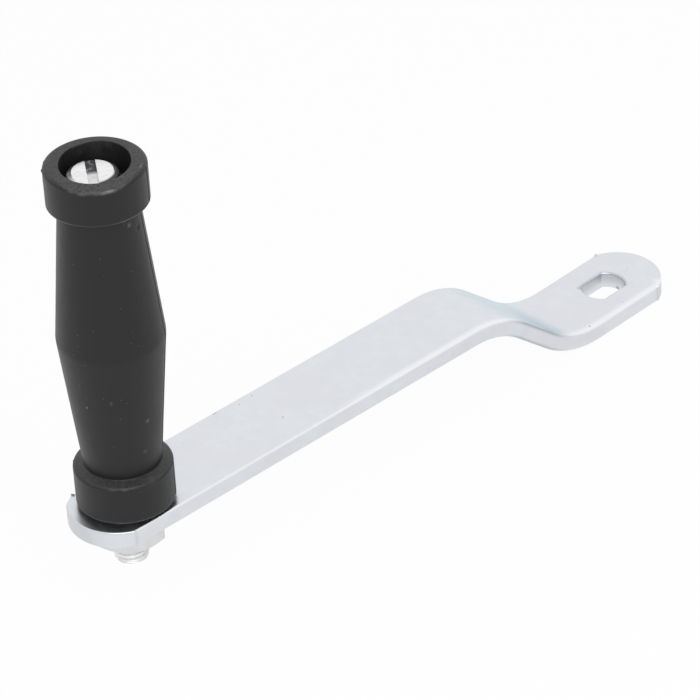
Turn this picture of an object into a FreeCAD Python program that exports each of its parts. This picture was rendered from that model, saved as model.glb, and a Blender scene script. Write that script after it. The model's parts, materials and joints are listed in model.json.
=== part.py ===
"""Crank handle for a small winch: a joggled flat bar with a double-D drive hole and a turning moulded grip.

Millimetres, +Z up. The origin is the centre of the drive hole on the bar's underside, the face that seats
on the winch. The drive hole's axis is Z. The bar runs towards -X, climbs one joggle and leans up a little
on its way to the grip. The grip turns on a long slotted screw that is threaded through the bar's handle
end and locked by a nut below it.
"""
import FreeCAD
import Part
import math
import os
from FreeCAD import Placement, Rotation, Vector

# Bar: one flat steel strip, bent twice; its bend radii are at mid thickness
BAR_WIDTH = 25.0
BAR_THICKNESS = 5.0
BAR_EDGE_RADIUS = 0.7
THROW = 179.6
SEAT_LENGTH = 14.5
LOWER_BEND_RADIUS = 30.0
JOGGLE_ANGLE = 41.5
JOGGLE_STRAIGHT = 14.3
UPPER_BEND_RADIUS = 28.0
BAR_LEAN = 2.5
DRIVE_TIP = 18.3
DRIVE_END_EXCESS = 0.9
DRIVE_END_RADIUS = BAR_WIDTH / 2 + DRIVE_END_EXCESS
HANDLE_TIP = 15.9
HANDLE_END_EXCESS = 1.9
HANDLE_END_RADIUS = BAR_WIDTH / 2 + HANDLE_END_EXCESS
HANDLE_END_OFFSET = 0.5
END_EDGE_RADIUS = 0.3
END_STOCK = 2.0

# Drive hole: a punched double D with its flats along the bar
DRIVE_HOLE_DIAMETER = 12.7
DRIVE_HOLE_FLATS = 9.3
DRIVE_HOLE_CORNER = 0.5
PUNCH_ROLL_RADIUS = 0.5

# Spindle screw: slotted head, plain shank, threaded end
SPINDLE_DIAMETER = 9.4
HEAD_DIAMETER = 13.0
HEAD_HEIGHT = 5.7
HEAD_SHOULDER_WIDTH = 1.45
HEAD_SHOULDER_DROP = 0.9
HEAD_SHOULDER_RADIUS = 0.8
HEAD_CROWN_RADIUS = 60.0
SLOT_WIDTH = 2.7
SLOT_DEPTH = 2.6
SLOT_TURN = 55.0
SLOT_OFFSET = 0.9
THREAD_STUB = 6.6
THREAD_POINT = 0.5
THREAD_CLEARANCE = 0.05
TAP_CHAMFER = 0.6

# Lock nut below the bar
NUT_ACROSS_FLATS = 17.5
NUT_HEIGHT = 6.7
NUT_FACE_MARGIN = 0.55
NUT_CHAMFER_ANGLE = 30.0
NUT_TURN = -64.0

# Thrust washer between the bar and the grip
WASHER_OUTER_DIAMETER = 18.0
WASHER_BORE_CLEARANCE = 0.25
WASHER_THICKNESS = 1.4
WASHER_EDGE = 0.2

# Grip: one moulding; its lower collar slopes up to the neck, its upper one has the head's recess
GRIP_LENGTH = 101.5
GRIP_PLAY = 0.1
GRIP_BORE_CLEARANCE = 0.08
COLLAR_DIAMETER = 26.3
COLLAR_HEIGHT = 10.8
COLLAR_SLOPE = 1.1
NECK_DIAMETER = 20.7
BELLY_DIAMETER = 28.3
BELLY_BLEND_RADIUS = 10.0
COLLAR_RIM_RADIUS = 1.2
COLLAR_SHOULDER_RADIUS = 0.9
COLLAR_LIP_RADIUS = 0.2
NECK_ROOT_RADIUS = 0.3
RECESS_WALL_CLEARANCE = 2.5
RECESS_DEPTH = 8.0
RECESS_EDGE_RADIUS = 0.6
RECESS_ROOT_RADIUS = 0.8

# Furthest apart two lengths may be and still count as equal
MATCH = 1e-4


def heading_vector(heading):
    """Unit vector in the XZ plane for a heading in degrees, where 0 is +X and 90 is +Z."""
    angle = math.radians(heading)
    return Vector(math.cos(angle), 0, math.sin(angle))


def top_normal(heading):
    """Unit vector towards the bar's top face, for a strip that runs along the heading."""
    return heading_vector(heading - 90)


def straight(start, heading, length):
    """Start, middle and end stations of a straight span; a station is a mid-line point and its heading."""
    run = heading_vector(heading)
    return [(start + run * (length * share), heading) for share in (0, 0.5, 1)]


def bend(start, heading, radius, turn):
    """Start, middle and end stations of a bend; a positive turn curls the strip towards its top face."""
    side = math.copysign(1, turn)
    centre = start + top_normal(heading) * (radius * side)
    headings = [heading - turn * share for share in (0, 0.5, 1)]
    return [(centre - top_normal(angle) * (radius * side), angle) for angle in headings]


def bar_spans():
    """Spans of the bar's mid line with stock past both tips, and the spindle's point on the top face."""
    start = Vector(DRIVE_TIP + END_STOCK, 0, BAR_THICKNESS / 2)
    spans = [straight(start, 180, start.x + SEAT_LENGTH)]
    spans.append(bend(*spans[-1][-1], LOWER_BEND_RADIUS, JOGGLE_ANGLE))
    spans.append(straight(*spans[-1][-1], JOGGLE_STRAIGHT))
    spans.append(bend(*spans[-1][-1], UPPER_BEND_RADIUS, BAR_LEAN - JOGGLE_ANGLE))
    start, heading = spans[-1][-1]
    run = heading_vector(heading)
    lift = top_normal(heading) * (BAR_THICKNESS / 2)
    length = (-THROW - lift.x - start.x) / run.x
    spans.append(straight(start, heading, length + HANDLE_TIP + END_STOCK))
    return spans, start + run * length + lift


def face_edges(spans, offset):
    """Edges of the bar's side outline along one face, held off the mid line towards the top face."""
    edges = []
    for span in spans:
        points = [point + top_normal(heading) * offset for point, heading in span]
        is_straight = span[0][1] == span[-1][1]
        curve = Part.LineSegment(points[0], points[-1]) if is_straight else Part.Arc(*points)
        edges.append(curve.toShape())
    return edges


def end_point(edges, which):
    """First or last point of a row of edges that run the same way."""
    edge = edges[which]
    return edge.valueAt(edge.FirstParameter if which == 0 else edge.LastParameter)


def bent_strip(spans):
    """The bar as rolled and bent: its side outline carried across the width, its long edges rounded."""
    top = face_edges(spans, BAR_THICKNESS / 2)
    bottom = face_edges(spans, -BAR_THICKNESS / 2)
    ends = []
    for which in (0, -1):
        ends.append(Part.LineSegment(end_point(top, which), end_point(bottom, which)).toShape())
    face = Part.Face(Part.Wire(Part.__sortEdges__(top + bottom + ends)))
    face.translate(Vector(0, -BAR_WIDTH / 2, 0))
    strip = face.extrude(Vector(0, BAR_WIDTH, 0))
    middles = [middle_point(edge) for edge in top + bottom]
    long_edges = [edge for edge in strip.Edges if runs_along(edge, middles)]
    return strip.makeFillet(BAR_EDGE_RADIUS, long_edges)


def middle_point(edge):
    """Point half way along an edge."""
    return edge.valueAt((edge.FirstParameter + edge.LastParameter) / 2)


def runs_along(edge, middles):
    """Whether an edge of the strip keeps to one side of it and has its middle over one of the points."""
    middle = middle_point(edge)
    offsets = [math.hypot(middle.x - point.x, middle.z - point.z) for point in middles]
    return edge.BoundBox.YLength < MATCH and min(offsets) < MATCH


def end_trim(tip, radius):
    """Cutter that trims a strip which runs towards +X to a round end that reaches x = tip."""
    centre = tip - radius
    reach = 2 * radius
    block = Part.makeBox(reach, 2 * reach, 2 * reach, Vector(centre, -reach, -reach))
    return block.cut(Part.makeCylinder(radius, 2 * reach, Vector(centre, 0, -reach)))


def end_face_edges(bar):
    """All the edges round the bar's two end faces, which are the faces with an end's radius."""
    radii = (DRIVE_END_RADIUS, HANDLE_END_RADIUS)
    round_faces = [face for face in bar.Faces if isinstance(face.Surface, Part.Cylinder)]
    gaps = [min(abs(face.Surface.Radius - radius) for radius in radii) for face in round_faces]
    return [edge for face, gap in zip(round_faces, gaps) if gap < MATCH for edge in face.Edges]


def double_d():
    """Prism with the drive hole's outline about Z, well past both faces of the bar."""
    length = 2 * BAR_THICKNESS
    reach = DRIVE_HOLE_DIAMETER
    barrel = Part.makeCylinder(DRIVE_HOLE_DIAMETER / 2, 2 * length, Vector(0, 0, -length))
    corner = Vector(-reach, -DRIVE_HOLE_FLATS / 2, -length)
    slab = Part.makeBox(2 * reach, DRIVE_HOLE_FLATS, 2 * length, corner)
    prism = barrel.common(slab)
    corners = [edge for edge in prism.Edges if edge.BoundBox.ZLength > length]
    return prism.makeFillet(DRIVE_HOLE_CORNER, corners)


def hole_edges(solid, reach, height):
    """Edges at one height within reach of the Z axis."""
    boxes = [(edge, edge.BoundBox) for edge in solid.Edges]
    return [edge for edge, box in boxes
            if abs(box.ZMin - height) < MATCH and abs(box.ZMax - height) < MATCH
            and max(abs(box.XMin), abs(box.XMax), abs(box.YMin), abs(box.YMax)) < reach]


def ring_edges(solid, radius, height):
    """Full-circle edges of a piece drawn about Z that have the given radius and height."""
    edges = [edge for edge in solid.Edges if not edge.Degenerated]
    circles = [edge for edge in edges if isinstance(edge.Curve, Part.Circle)]
    return [edge for edge in circles
            if abs(edge.Curve.Radius - radius) < MATCH and abs(edge.Curve.Center.z - height) < MATCH]


def round_rings(solid, radius, rings):
    """Rounds the ring edges at each (radius, height) with one fillet radius."""
    edges = [edge for ring in rings for edge in ring_edges(solid, *ring)]
    return solid.makeFillet(radius, edges)


def turned(outline):
    """Solid of revolution about Z from (radius, height) points."""
    points = [Vector(radius, 0, height) for radius, height in outline]
    return Part.Face(Part.makePolygon(points + points[:1])).revolve(Vector(), Vector(0, 0, 1), 360)


def crank_arm(spans, spindle):
    """Bar with its two round ends, the drive hole and the tapped hole of the spindle."""
    about = Placement(Vector(0, HANDLE_END_OFFSET, 0), Rotation(Vector(0, 0, 1), 180))
    handle_trim = end_trim(HANDLE_TIP, HANDLE_END_RADIUS).transformed(spindle.multiply(about).toMatrix())
    bar = bent_strip(spans).cut(end_trim(DRIVE_TIP, DRIVE_END_RADIUS)).cut(handle_trim)
    bar = bar.makeFillet(END_EDGE_RADIUS, end_face_edges(bar))
    bar = bar.cut(double_d())
    punched = hole_edges(bar, DRIVE_HOLE_DIAMETER / 2 + MATCH, BAR_THICKNESS)
    bar = bar.makeFillet(PUNCH_ROLL_RADIUS, punched)
    return bar.cut(tapped_hole().transformed(spindle.toMatrix())).Solids[0]


def tapped_hole():
    """Cutter of the spindle's tapped hole, with a chamfer at each face of the bar."""
    radius = SPINDLE_DIAMETER / 2 + THREAD_CLEARANCE
    wide = radius + TAP_CHAMFER
    top, bottom = 0, -BAR_THICKNESS
    return turned([(0, top + TAP_CHAMFER), (wide + TAP_CHAMFER, top + TAP_CHAMFER),
                   (radius, top - TAP_CHAMFER), (radius, bottom + TAP_CHAMFER),
                   (wide + TAP_CHAMFER, bottom - TAP_CHAMFER), (0, bottom - TAP_CHAMFER)])


def spindle_screw():
    """Slotted screw: crowned head in the grip's recess, shank through grip and bar, stub below the nut."""
    shank = SPINDLE_DIAMETER / 2
    head = HEAD_DIAMETER / 2
    disc = head - HEAD_SHOULDER_WIDTH
    seat = WASHER_THICKNESS + GRIP_PLAY + GRIP_LENGTH - RECESS_DEPTH + GRIP_PLAY
    top = seat + HEAD_HEIGHT
    disc_top = top - HEAD_CROWN_RADIUS + math.sqrt(HEAD_CROWN_RADIUS ** 2 - disc ** 2)
    side_top = disc_top - HEAD_SHOULDER_DROP
    tip = -BAR_THICKNESS - NUT_HEIGHT - THREAD_STUB
    body = turned([(0, tip), (shank - THREAD_POINT, tip), (shank, tip + THREAD_POINT), (shank, seat),
                   (head, seat), (head, side_top), (disc, disc_top), (disc, top), (0, top)])
    cap = Part.makeSphere(HEAD_CROWN_RADIUS, Vector(0, 0, top - HEAD_CROWN_RADIUS))
    body = body.common(cap.fuse(Part.makeCylinder(head, disc_top - tip, Vector(0, 0, tip))))
    body = round_rings(body, HEAD_SHOULDER_RADIUS, [(head, side_top)])
    return body.cut(driver_slot(top)).Solids[0]


def driver_slot(top):
    """Cutter of the screwdriver slot, which misses the centre of the head that tops out at this height."""
    slot = Part.makeBox(2 * HEAD_DIAMETER, SLOT_WIDTH, SLOT_DEPTH)
    slot.translate(Vector(-HEAD_DIAMETER, SLOT_OFFSET - SLOT_WIDTH / 2, top - SLOT_DEPTH))
    slot.rotate(Vector(), Vector(0, 0, 1), SLOT_TURN)
    return slot


def lock_nut():
    """Hexagon nut against the bar's underside, chamfered on both faces."""
    corner = NUT_ACROSS_FLATS / math.sqrt(3)
    flat = NUT_ACROSS_FLATS / 2
    top = -BAR_THICKNESS
    bottom = top - NUT_HEIGHT
    angles = [math.radians(NUT_TURN + 60 * index) for index in range(7)]
    hexagon = Part.makePolygon([Vector(corner * math.cos(a), corner * math.sin(a), bottom) for a in angles])
    prism = Part.Face(hexagon).extrude(Vector(0, 0, NUT_HEIGHT))
    face = flat - NUT_FACE_MARGIN
    drop = (corner - face) * math.tan(math.radians(NUT_CHAMFER_ANGLE))
    bore = SPINDLE_DIAMETER / 2 + THREAD_CLEARANCE
    mouth = bore + TAP_CHAMFER
    ring = turned([(mouth, bottom), (face, bottom), (corner, bottom + drop), (corner, top - drop),
                   (face, top), (mouth, top), (bore, top - TAP_CHAMFER), (bore, bottom + TAP_CHAMFER)])
    return prism.common(ring).Solids[0]


def thrust_washer():
    """Plain washer that carries the grip off the bar."""
    outer = WASHER_OUTER_DIAMETER / 2
    bore = SPINDLE_DIAMETER / 2 + WASHER_BORE_CLEARANCE
    ring = turned([(bore, 0), (outer, 0), (outer, WASHER_THICKNESS), (bore, WASHER_THICKNESS)])
    return round_rings(ring, WASHER_EDGE, [(outer, WASHER_THICKNESS)])


def grip():
    """Moulded grip: collar, cone out to the belly, cone back, collar with the head's recess, and a bore."""
    bottom = WASHER_THICKNESS + GRIP_PLAY
    top = bottom + GRIP_LENGTH
    middle = (bottom + top) / 2
    collar, neck, belly = COLLAR_DIAMETER / 2, NECK_DIAMETER / 2, BELLY_DIAMETER / 2
    low_shoulder, high_shoulder = bottom + COLLAR_HEIGHT, top - COLLAR_HEIGHT
    low_root = low_shoulder + COLLAR_SLOPE
    bore = SPINDLE_DIAMETER / 2 + GRIP_BORE_CLEARANCE
    recess = HEAD_DIAMETER / 2 + RECESS_WALL_CLEARANCE
    floor = top - RECESS_DEPTH
    body = turned([(bore, bottom), (collar, bottom), (collar, low_shoulder), (neck, low_root),
                   (belly, middle), (neck, high_shoulder), (collar, high_shoulder), (collar, top),
                   (recess, top), (recess, floor), (bore, floor)])
    body = round_rings(body, BELLY_BLEND_RADIUS, [(belly, middle)])
    body = round_rings(body, NECK_ROOT_RADIUS, [(neck, low_root), (neck, high_shoulder)])
    body = round_rings(body, COLLAR_RIM_RADIUS, [(collar, top)])
    body = round_rings(body, COLLAR_SHOULDER_RADIUS, [(collar, low_shoulder)])
    body = round_rings(body, COLLAR_LIP_RADIUS, [(collar, bottom), (collar, high_shoulder)])
    body = round_rings(body, RECESS_EDGE_RADIUS, [(recess, top)])
    return round_rings(body, RECESS_ROOT_RADIUS, [(recess, floor)])


def main():
    """Builds each piece in place and writes one file per piece."""
    os.makedirs("parts", exist_ok=True)
    spans, spindle_point = bar_spans()
    spindle = Placement(spindle_point, Rotation(Vector(0, 1, 0), BAR_LEAN))
    pieces = {"crank_arm": crank_arm(spans, spindle)}
    for maker in (spindle_screw, lock_nut, thrust_washer, grip):
        pieces[maker.__name__] = maker().transformed(spindle.toMatrix())
    for name, shape in pieces.items():
        shape.exportStep(f"parts/{name}.step")
        print(name, "volume", round(shape.Volume, 1), "valid", shape.isValid(), shape.BoundBox)
    print("spindle's point on the bar's top face", spindle_point)


main()
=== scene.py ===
"""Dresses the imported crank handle: a zinc-plated flat bar, a black grip, its slotted screw and the lock nut.

Blender works in metres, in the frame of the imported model. Sizes here are in millimetres, as on a maker's
drawing, and become metres where a mesh is made. What turns about the grip's axis is drawn in the spindle's
own frame: its origin is where that axis meets the bar's top face, with Z up the grip and X towards the
drive hole.
"""

import json
import logging
import math
from dataclasses import dataclass, field
from enum import Enum
from typing import Any, NamedTuple, Sequence

import bmesh
import bpy
import numpy as np
from mathutils import Matrix, Vector, noise
from mathutils.geometry import delaunay_2d_cdt

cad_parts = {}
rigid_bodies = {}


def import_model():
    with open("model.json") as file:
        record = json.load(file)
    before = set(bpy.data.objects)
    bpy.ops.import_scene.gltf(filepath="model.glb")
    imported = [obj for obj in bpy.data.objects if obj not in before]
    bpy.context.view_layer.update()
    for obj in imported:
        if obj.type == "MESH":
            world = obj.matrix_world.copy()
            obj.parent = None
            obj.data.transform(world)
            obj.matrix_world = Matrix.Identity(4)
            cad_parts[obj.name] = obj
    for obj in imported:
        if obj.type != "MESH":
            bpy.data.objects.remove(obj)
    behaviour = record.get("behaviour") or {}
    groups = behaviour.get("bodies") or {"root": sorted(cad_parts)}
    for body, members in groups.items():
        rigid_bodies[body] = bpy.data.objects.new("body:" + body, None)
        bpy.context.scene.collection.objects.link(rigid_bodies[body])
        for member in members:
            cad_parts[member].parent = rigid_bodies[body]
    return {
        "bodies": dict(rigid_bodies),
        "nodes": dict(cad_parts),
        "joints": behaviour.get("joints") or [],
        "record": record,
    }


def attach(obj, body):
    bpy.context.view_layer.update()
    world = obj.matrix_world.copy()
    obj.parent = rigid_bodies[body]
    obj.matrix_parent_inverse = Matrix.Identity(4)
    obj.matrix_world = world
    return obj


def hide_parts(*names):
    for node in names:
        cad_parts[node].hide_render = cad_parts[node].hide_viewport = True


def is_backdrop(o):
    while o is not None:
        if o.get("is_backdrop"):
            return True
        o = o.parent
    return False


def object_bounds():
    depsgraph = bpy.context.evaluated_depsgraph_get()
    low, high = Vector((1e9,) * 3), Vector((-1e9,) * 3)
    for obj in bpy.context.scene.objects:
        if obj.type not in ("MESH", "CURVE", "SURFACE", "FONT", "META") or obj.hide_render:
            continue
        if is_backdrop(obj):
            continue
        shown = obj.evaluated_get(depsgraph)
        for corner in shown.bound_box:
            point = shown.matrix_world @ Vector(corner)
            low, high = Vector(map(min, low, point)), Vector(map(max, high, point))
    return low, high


LOG = logging.getLogger("crank_handle")

MM = 0.001
TURN = 2 * math.pi
SIXTH_TURN = math.radians(60)
PHOTO_SIDE_PX = 700
SENSOR_MM = 36.0
WHITE = (1.0, 1.0, 1.0, 1.0)

# The sRGB curve is straight up to its knee and a power above it
FULL_BYTE = 255
SRGB_KNEE = 0.04045
SRGB_SLOPE = 12.92
SRGB_SHIFT = 0.055
SRGB_POWER = 2.4

# Points of a flat face that are nearer than this, in millimetres, count as one
SAME_POINT = 1e-9

# How much of a stretch the point that keeps a corner crisp may take
LARGEST_SUPPORT = 0.25

# Edges that turn by more than this are sharp, and are rounded in this many steps
SHARP_EDGE = math.radians(50)
SOFT_STEPS = 2

# How far apart the Wave texture's rings are at a scale of 1
WAVE_RING = 0.314

# Inputs of the Mix node that carry colours
MIX_A = 6
MIX_B = 7

Point2 = tuple[float, float]
Colour = tuple[float, float, float, float]
Array = np.ndarray
Piece = bpy.types.Object
Finish = bpy.types.Material
Tree = bpy.types.NodeTree
Source = bpy.types.Node | bpy.types.NodeSocket


class Coordinates(Enum):
    """Where a pattern on a surface takes its place from, always in millimetres."""

    BLANK = "the flat blank before it was bent, kept in the mesh"
    OBJECT = "the object's own frame"


class Corner(NamedTuple):
    """A corner of a turned outline, with the radius that rounds it off."""

    radius: float
    height: float
    rounding: float = 0.0


class Span(NamedTuple):
    """A range that a share rises over, from 0 at its start to 1 at its end, which may be the smaller."""

    start: float
    end: float

    def read(self) -> dict[str, float]:
        """Settings of a Map Range node that reads this range."""
        return {"From Min": self.start, "From Max": self.end}

    def given(self) -> dict[str, float]:
        """Settings of a Map Range node that gives this range."""
        return {"To Min": self.start, "To Max": self.end}

    def rise(self, value: Array) -> Array:
        """Rises smoothly from 0 at the start to 1 at the end."""
        share = np.clip((value - self.start) / (self.end - self.start), 0, 1)
        return share * share * (3 - 2 * share)


def linear(hex_colour: str) -> Colour:
    """Turns an sRGB hex colour into linear light.

    Args:
        hex_colour: Six hex digits after a hash sign.

    Returns:
        Red, green, blue and an alpha of 1.
    """
    light = []
    for byte in bytes.fromhex(hex_colour[1:]):
        part = byte / FULL_BYTE
        curved = ((part + SRGB_SHIFT) / (1 + SRGB_SHIFT)) ** SRGB_POWER
        light.append(part / SRGB_SLOPE if part <= SRGB_KNEE else curved)
    return light[0], light[1], light[2], 1.0


def add_node(tree: Tree, kind: str, settings: dict[str | int, Any] | None = None,
             links: dict[str | int, Source] | None = None) -> bpy.types.Node:
    """Adds one node with its settings and the links into it.

    Args:
        tree: The node tree that gets the node.
        kind: Blender's name of the node type, after the word ShaderNode.
        settings: Values by property name, or by input name or number.
        links: What to link from, by input name or number: a socket, or a node for the first output it shows.

    Returns:
        The new node.
    """
    node = tree.nodes.new("ShaderNode" + kind)
    for key, value in (settings or {}).items():
        if isinstance(key, int) or key in node.inputs:
            node.inputs[key].default_value = value
        else:
            setattr(node, key, value)
    for key, source in (links or {}).items():
        if isinstance(source, bpy.types.Node):
            source = next(output for output in source.outputs if output.enabled)
        tree.links.new(source, node.inputs[key])
    return node


def new_surface(name: str) -> tuple[Finish, Tree]:
    """Makes a material with nothing in it but its output node.

    Args:
        name: The material's name.

    Returns:
        The material and its node tree.
    """
    material = bpy.data.materials.new(name)
    material.use_nodes = True
    material.node_tree.nodes.clear()
    return material, material.node_tree


def place_in_mm(tree: Tree, coordinates: Coordinates) -> bpy.types.NodeSocket:
    """Gives a pattern its coordinates in millimetres.

    Args:
        tree: The material's node tree.
        coordinates: Which frame the pattern follows.

    Returns:
        The socket that carries the coordinates.
    """
    if coordinates is Coordinates.BLANK:
        return add_node(tree, "Attribute", {"attribute_name": "blank"}).outputs["Vector"]
    metres = add_node(tree, "TexCoord").outputs["Object"]
    scaled = add_node(tree, "VectorMath", {"operation": "SCALE", "Scale": 1 / MM}, {0: metres})
    return scaled.outputs["Vector"]


def lay_colours(tree: Tree, base: str, layers: Sequence[tuple[str, Source]]) -> Source:
    """Lays colours over a first one, each as far as its share says.

    Args:
        tree: The material's node tree.
        base: The first colour.
        layers: The colours over it in order, each with what gives its share from 0 to 1.

    Returns:
        What gives the mixed colour.
    """
    below: dict[int, Source] = {}
    for colour, share in layers:
        settings = {"data_type": "RGBA", MIX_A: linear(base), MIX_B: linear(colour)}
        below = {MIX_A: add_node(tree, "Mix", settings, {"Factor": share, **below})}
    return below[MIX_A]


@dataclass(frozen=True)
class ZincPlate:
    """Bright zinc plate on rolled steel, passivated clear: a pale, cool metal with a satin sheen.

    It mirrors dark things close by as soft smudges, because the plate keeps the fine grain of the steel
    below it.
    """

    name: str = "zinc_plated_steel"
    coordinates: Coordinates = Coordinates.BLANK
    colour: str = "#dfe2e6"
    dull_colour: str = "#dbdee2"
    violet: str = "#dfdee5"
    tint: str = "#bdcfd9"
    # Painted highlight: the pale band on the top face along the bar's front edge
    painted_highlight_colour: str = "#f4f5f7"
    # Drawn in the pits, in dirt and burrs, and in the painted shade that the mesh carries
    pit_and_shade_colour: str = "#5c5f65"
    roughness: Span = Span(0.24, 0.375)
    cloud_mm: float = 3.5
    cloud_detail: float = 4.0
    cloud_contrast: float = 0.6
    dull_clouds: Span = Span(0.35, 0.7)
    hue_mm: float = 14.0
    violet_hues: Span = Span(0.4, 0.65)
    pit_spacing_mm: float = 6.5
    pit_radius_mm: float = 0.2
    pit_darkness: float = 0.55
    # Real rolling marks and grain are under 0.1 mm wide. Both are drawn a pixel wide, or they don't show.
    mark_length_mm: float = 9.0
    mark_width_mm: float = 0.35
    mark_detail: float = 3.0
    mark_height_mm: float = 0.004
    grain_mm: float = 0.35
    grain_height_mm: float = 0.03

    def colours(self, tree: Tree, place: Source, clouds: Source) -> Source:
        """Builds the plate's colour up from its clouds, its faint hues, and what the mesh says of each place,
        painted highlights and painted shade among them.

        Args:
            tree: The material's node tree.
            place: Coordinates in millimetres.
            clouds: The cloud pattern.

        Returns:
            What gives the colour.
        """
        hues = add_node(tree, "TexNoise", {"Scale": 1 / self.hue_mm}, {"Vector": place})
        violet = add_node(tree, "MapRange", self.violet_hues.read(), {"Value": hues})
        dull = add_node(tree, "MapRange", self.dull_clouds.read(), {"Value": clouds})
        pits = add_node(tree, "TexVoronoi", {"Scale": 1 / self.pit_spacing_mm}, {"Vector": place})
        radius = self.pit_radius_mm / self.pit_spacing_mm
        settings = {**Span(radius, radius / 2).read(), "To Max": self.pit_darkness}
        pit = add_node(tree, "MapRange", settings, {"Value": pits})
        kept = {name: add_node(tree, "Attribute", {"attribute_name": name}).outputs["Fac"]
                for name in ("tint", "painted_highlight", "dirt_and_painted_shade")}
        # Pits, dirt and burrs, and painted shade all darken the plate
        dark = add_node(tree, "Math", {"operation": "MAXIMUM"}, {0: pit, 1: kept["dirt_and_painted_shade"]})
        layers = ((self.violet, violet), (self.dull_colour, dull), (self.tint, kept["tint"]),
                  (self.painted_highlight_colour, kept["painted_highlight"]), (self.pit_and_shade_colour, dark))
        return lay_colours(tree, self.colour, layers)

    def build(self) -> Finish:
        """Makes the finish.

        Returns:
            The finished material.
        """
        material, tree = new_surface(self.name)
        place = place_in_mm(tree, self.coordinates)
        settings = {"Scale": 1 / self.cloud_mm, "Detail": self.cloud_detail, "Roughness": self.cloud_contrast}
        clouds = add_node(tree, "TexNoise", settings, {"Vector": place})
        stretch = (1 / self.mark_length_mm, 1 / self.mark_width_mm, 1 / self.mark_width_mm)
        drawn_out = add_node(tree, "VectorMath", {"operation": "MULTIPLY", 1: stretch}, {0: place})
        settings = {"Scale": 1.0, "Detail": self.mark_detail}
        marks = add_node(tree, "TexNoise", settings, {"Vector": drawn_out})
        grain = add_node(tree, "TexNoise", {"Scale": 1 / self.grain_mm}, {"Vector": place})
        rough = add_node(tree, "MapRange", self.roughness.given(), {"Value": clouds})
        lines = add_node(tree, "Bump", {"Distance": self.mark_height_mm * MM}, {"Height": marks})
        skin = add_node(tree, "Bump", {"Distance": self.grain_height_mm * MM},
                        {"Height": grain, "Normal": lines})
        links = {"Base Color": self.colours(tree, place, clouds), "Roughness": rough, "Normal": skin}
        shader = add_node(tree, "BsdfPrincipled", {"Metallic": 1.0}, links)
        add_node(tree, "OutputMaterial", links={"Surface": shader})
        return material


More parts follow.
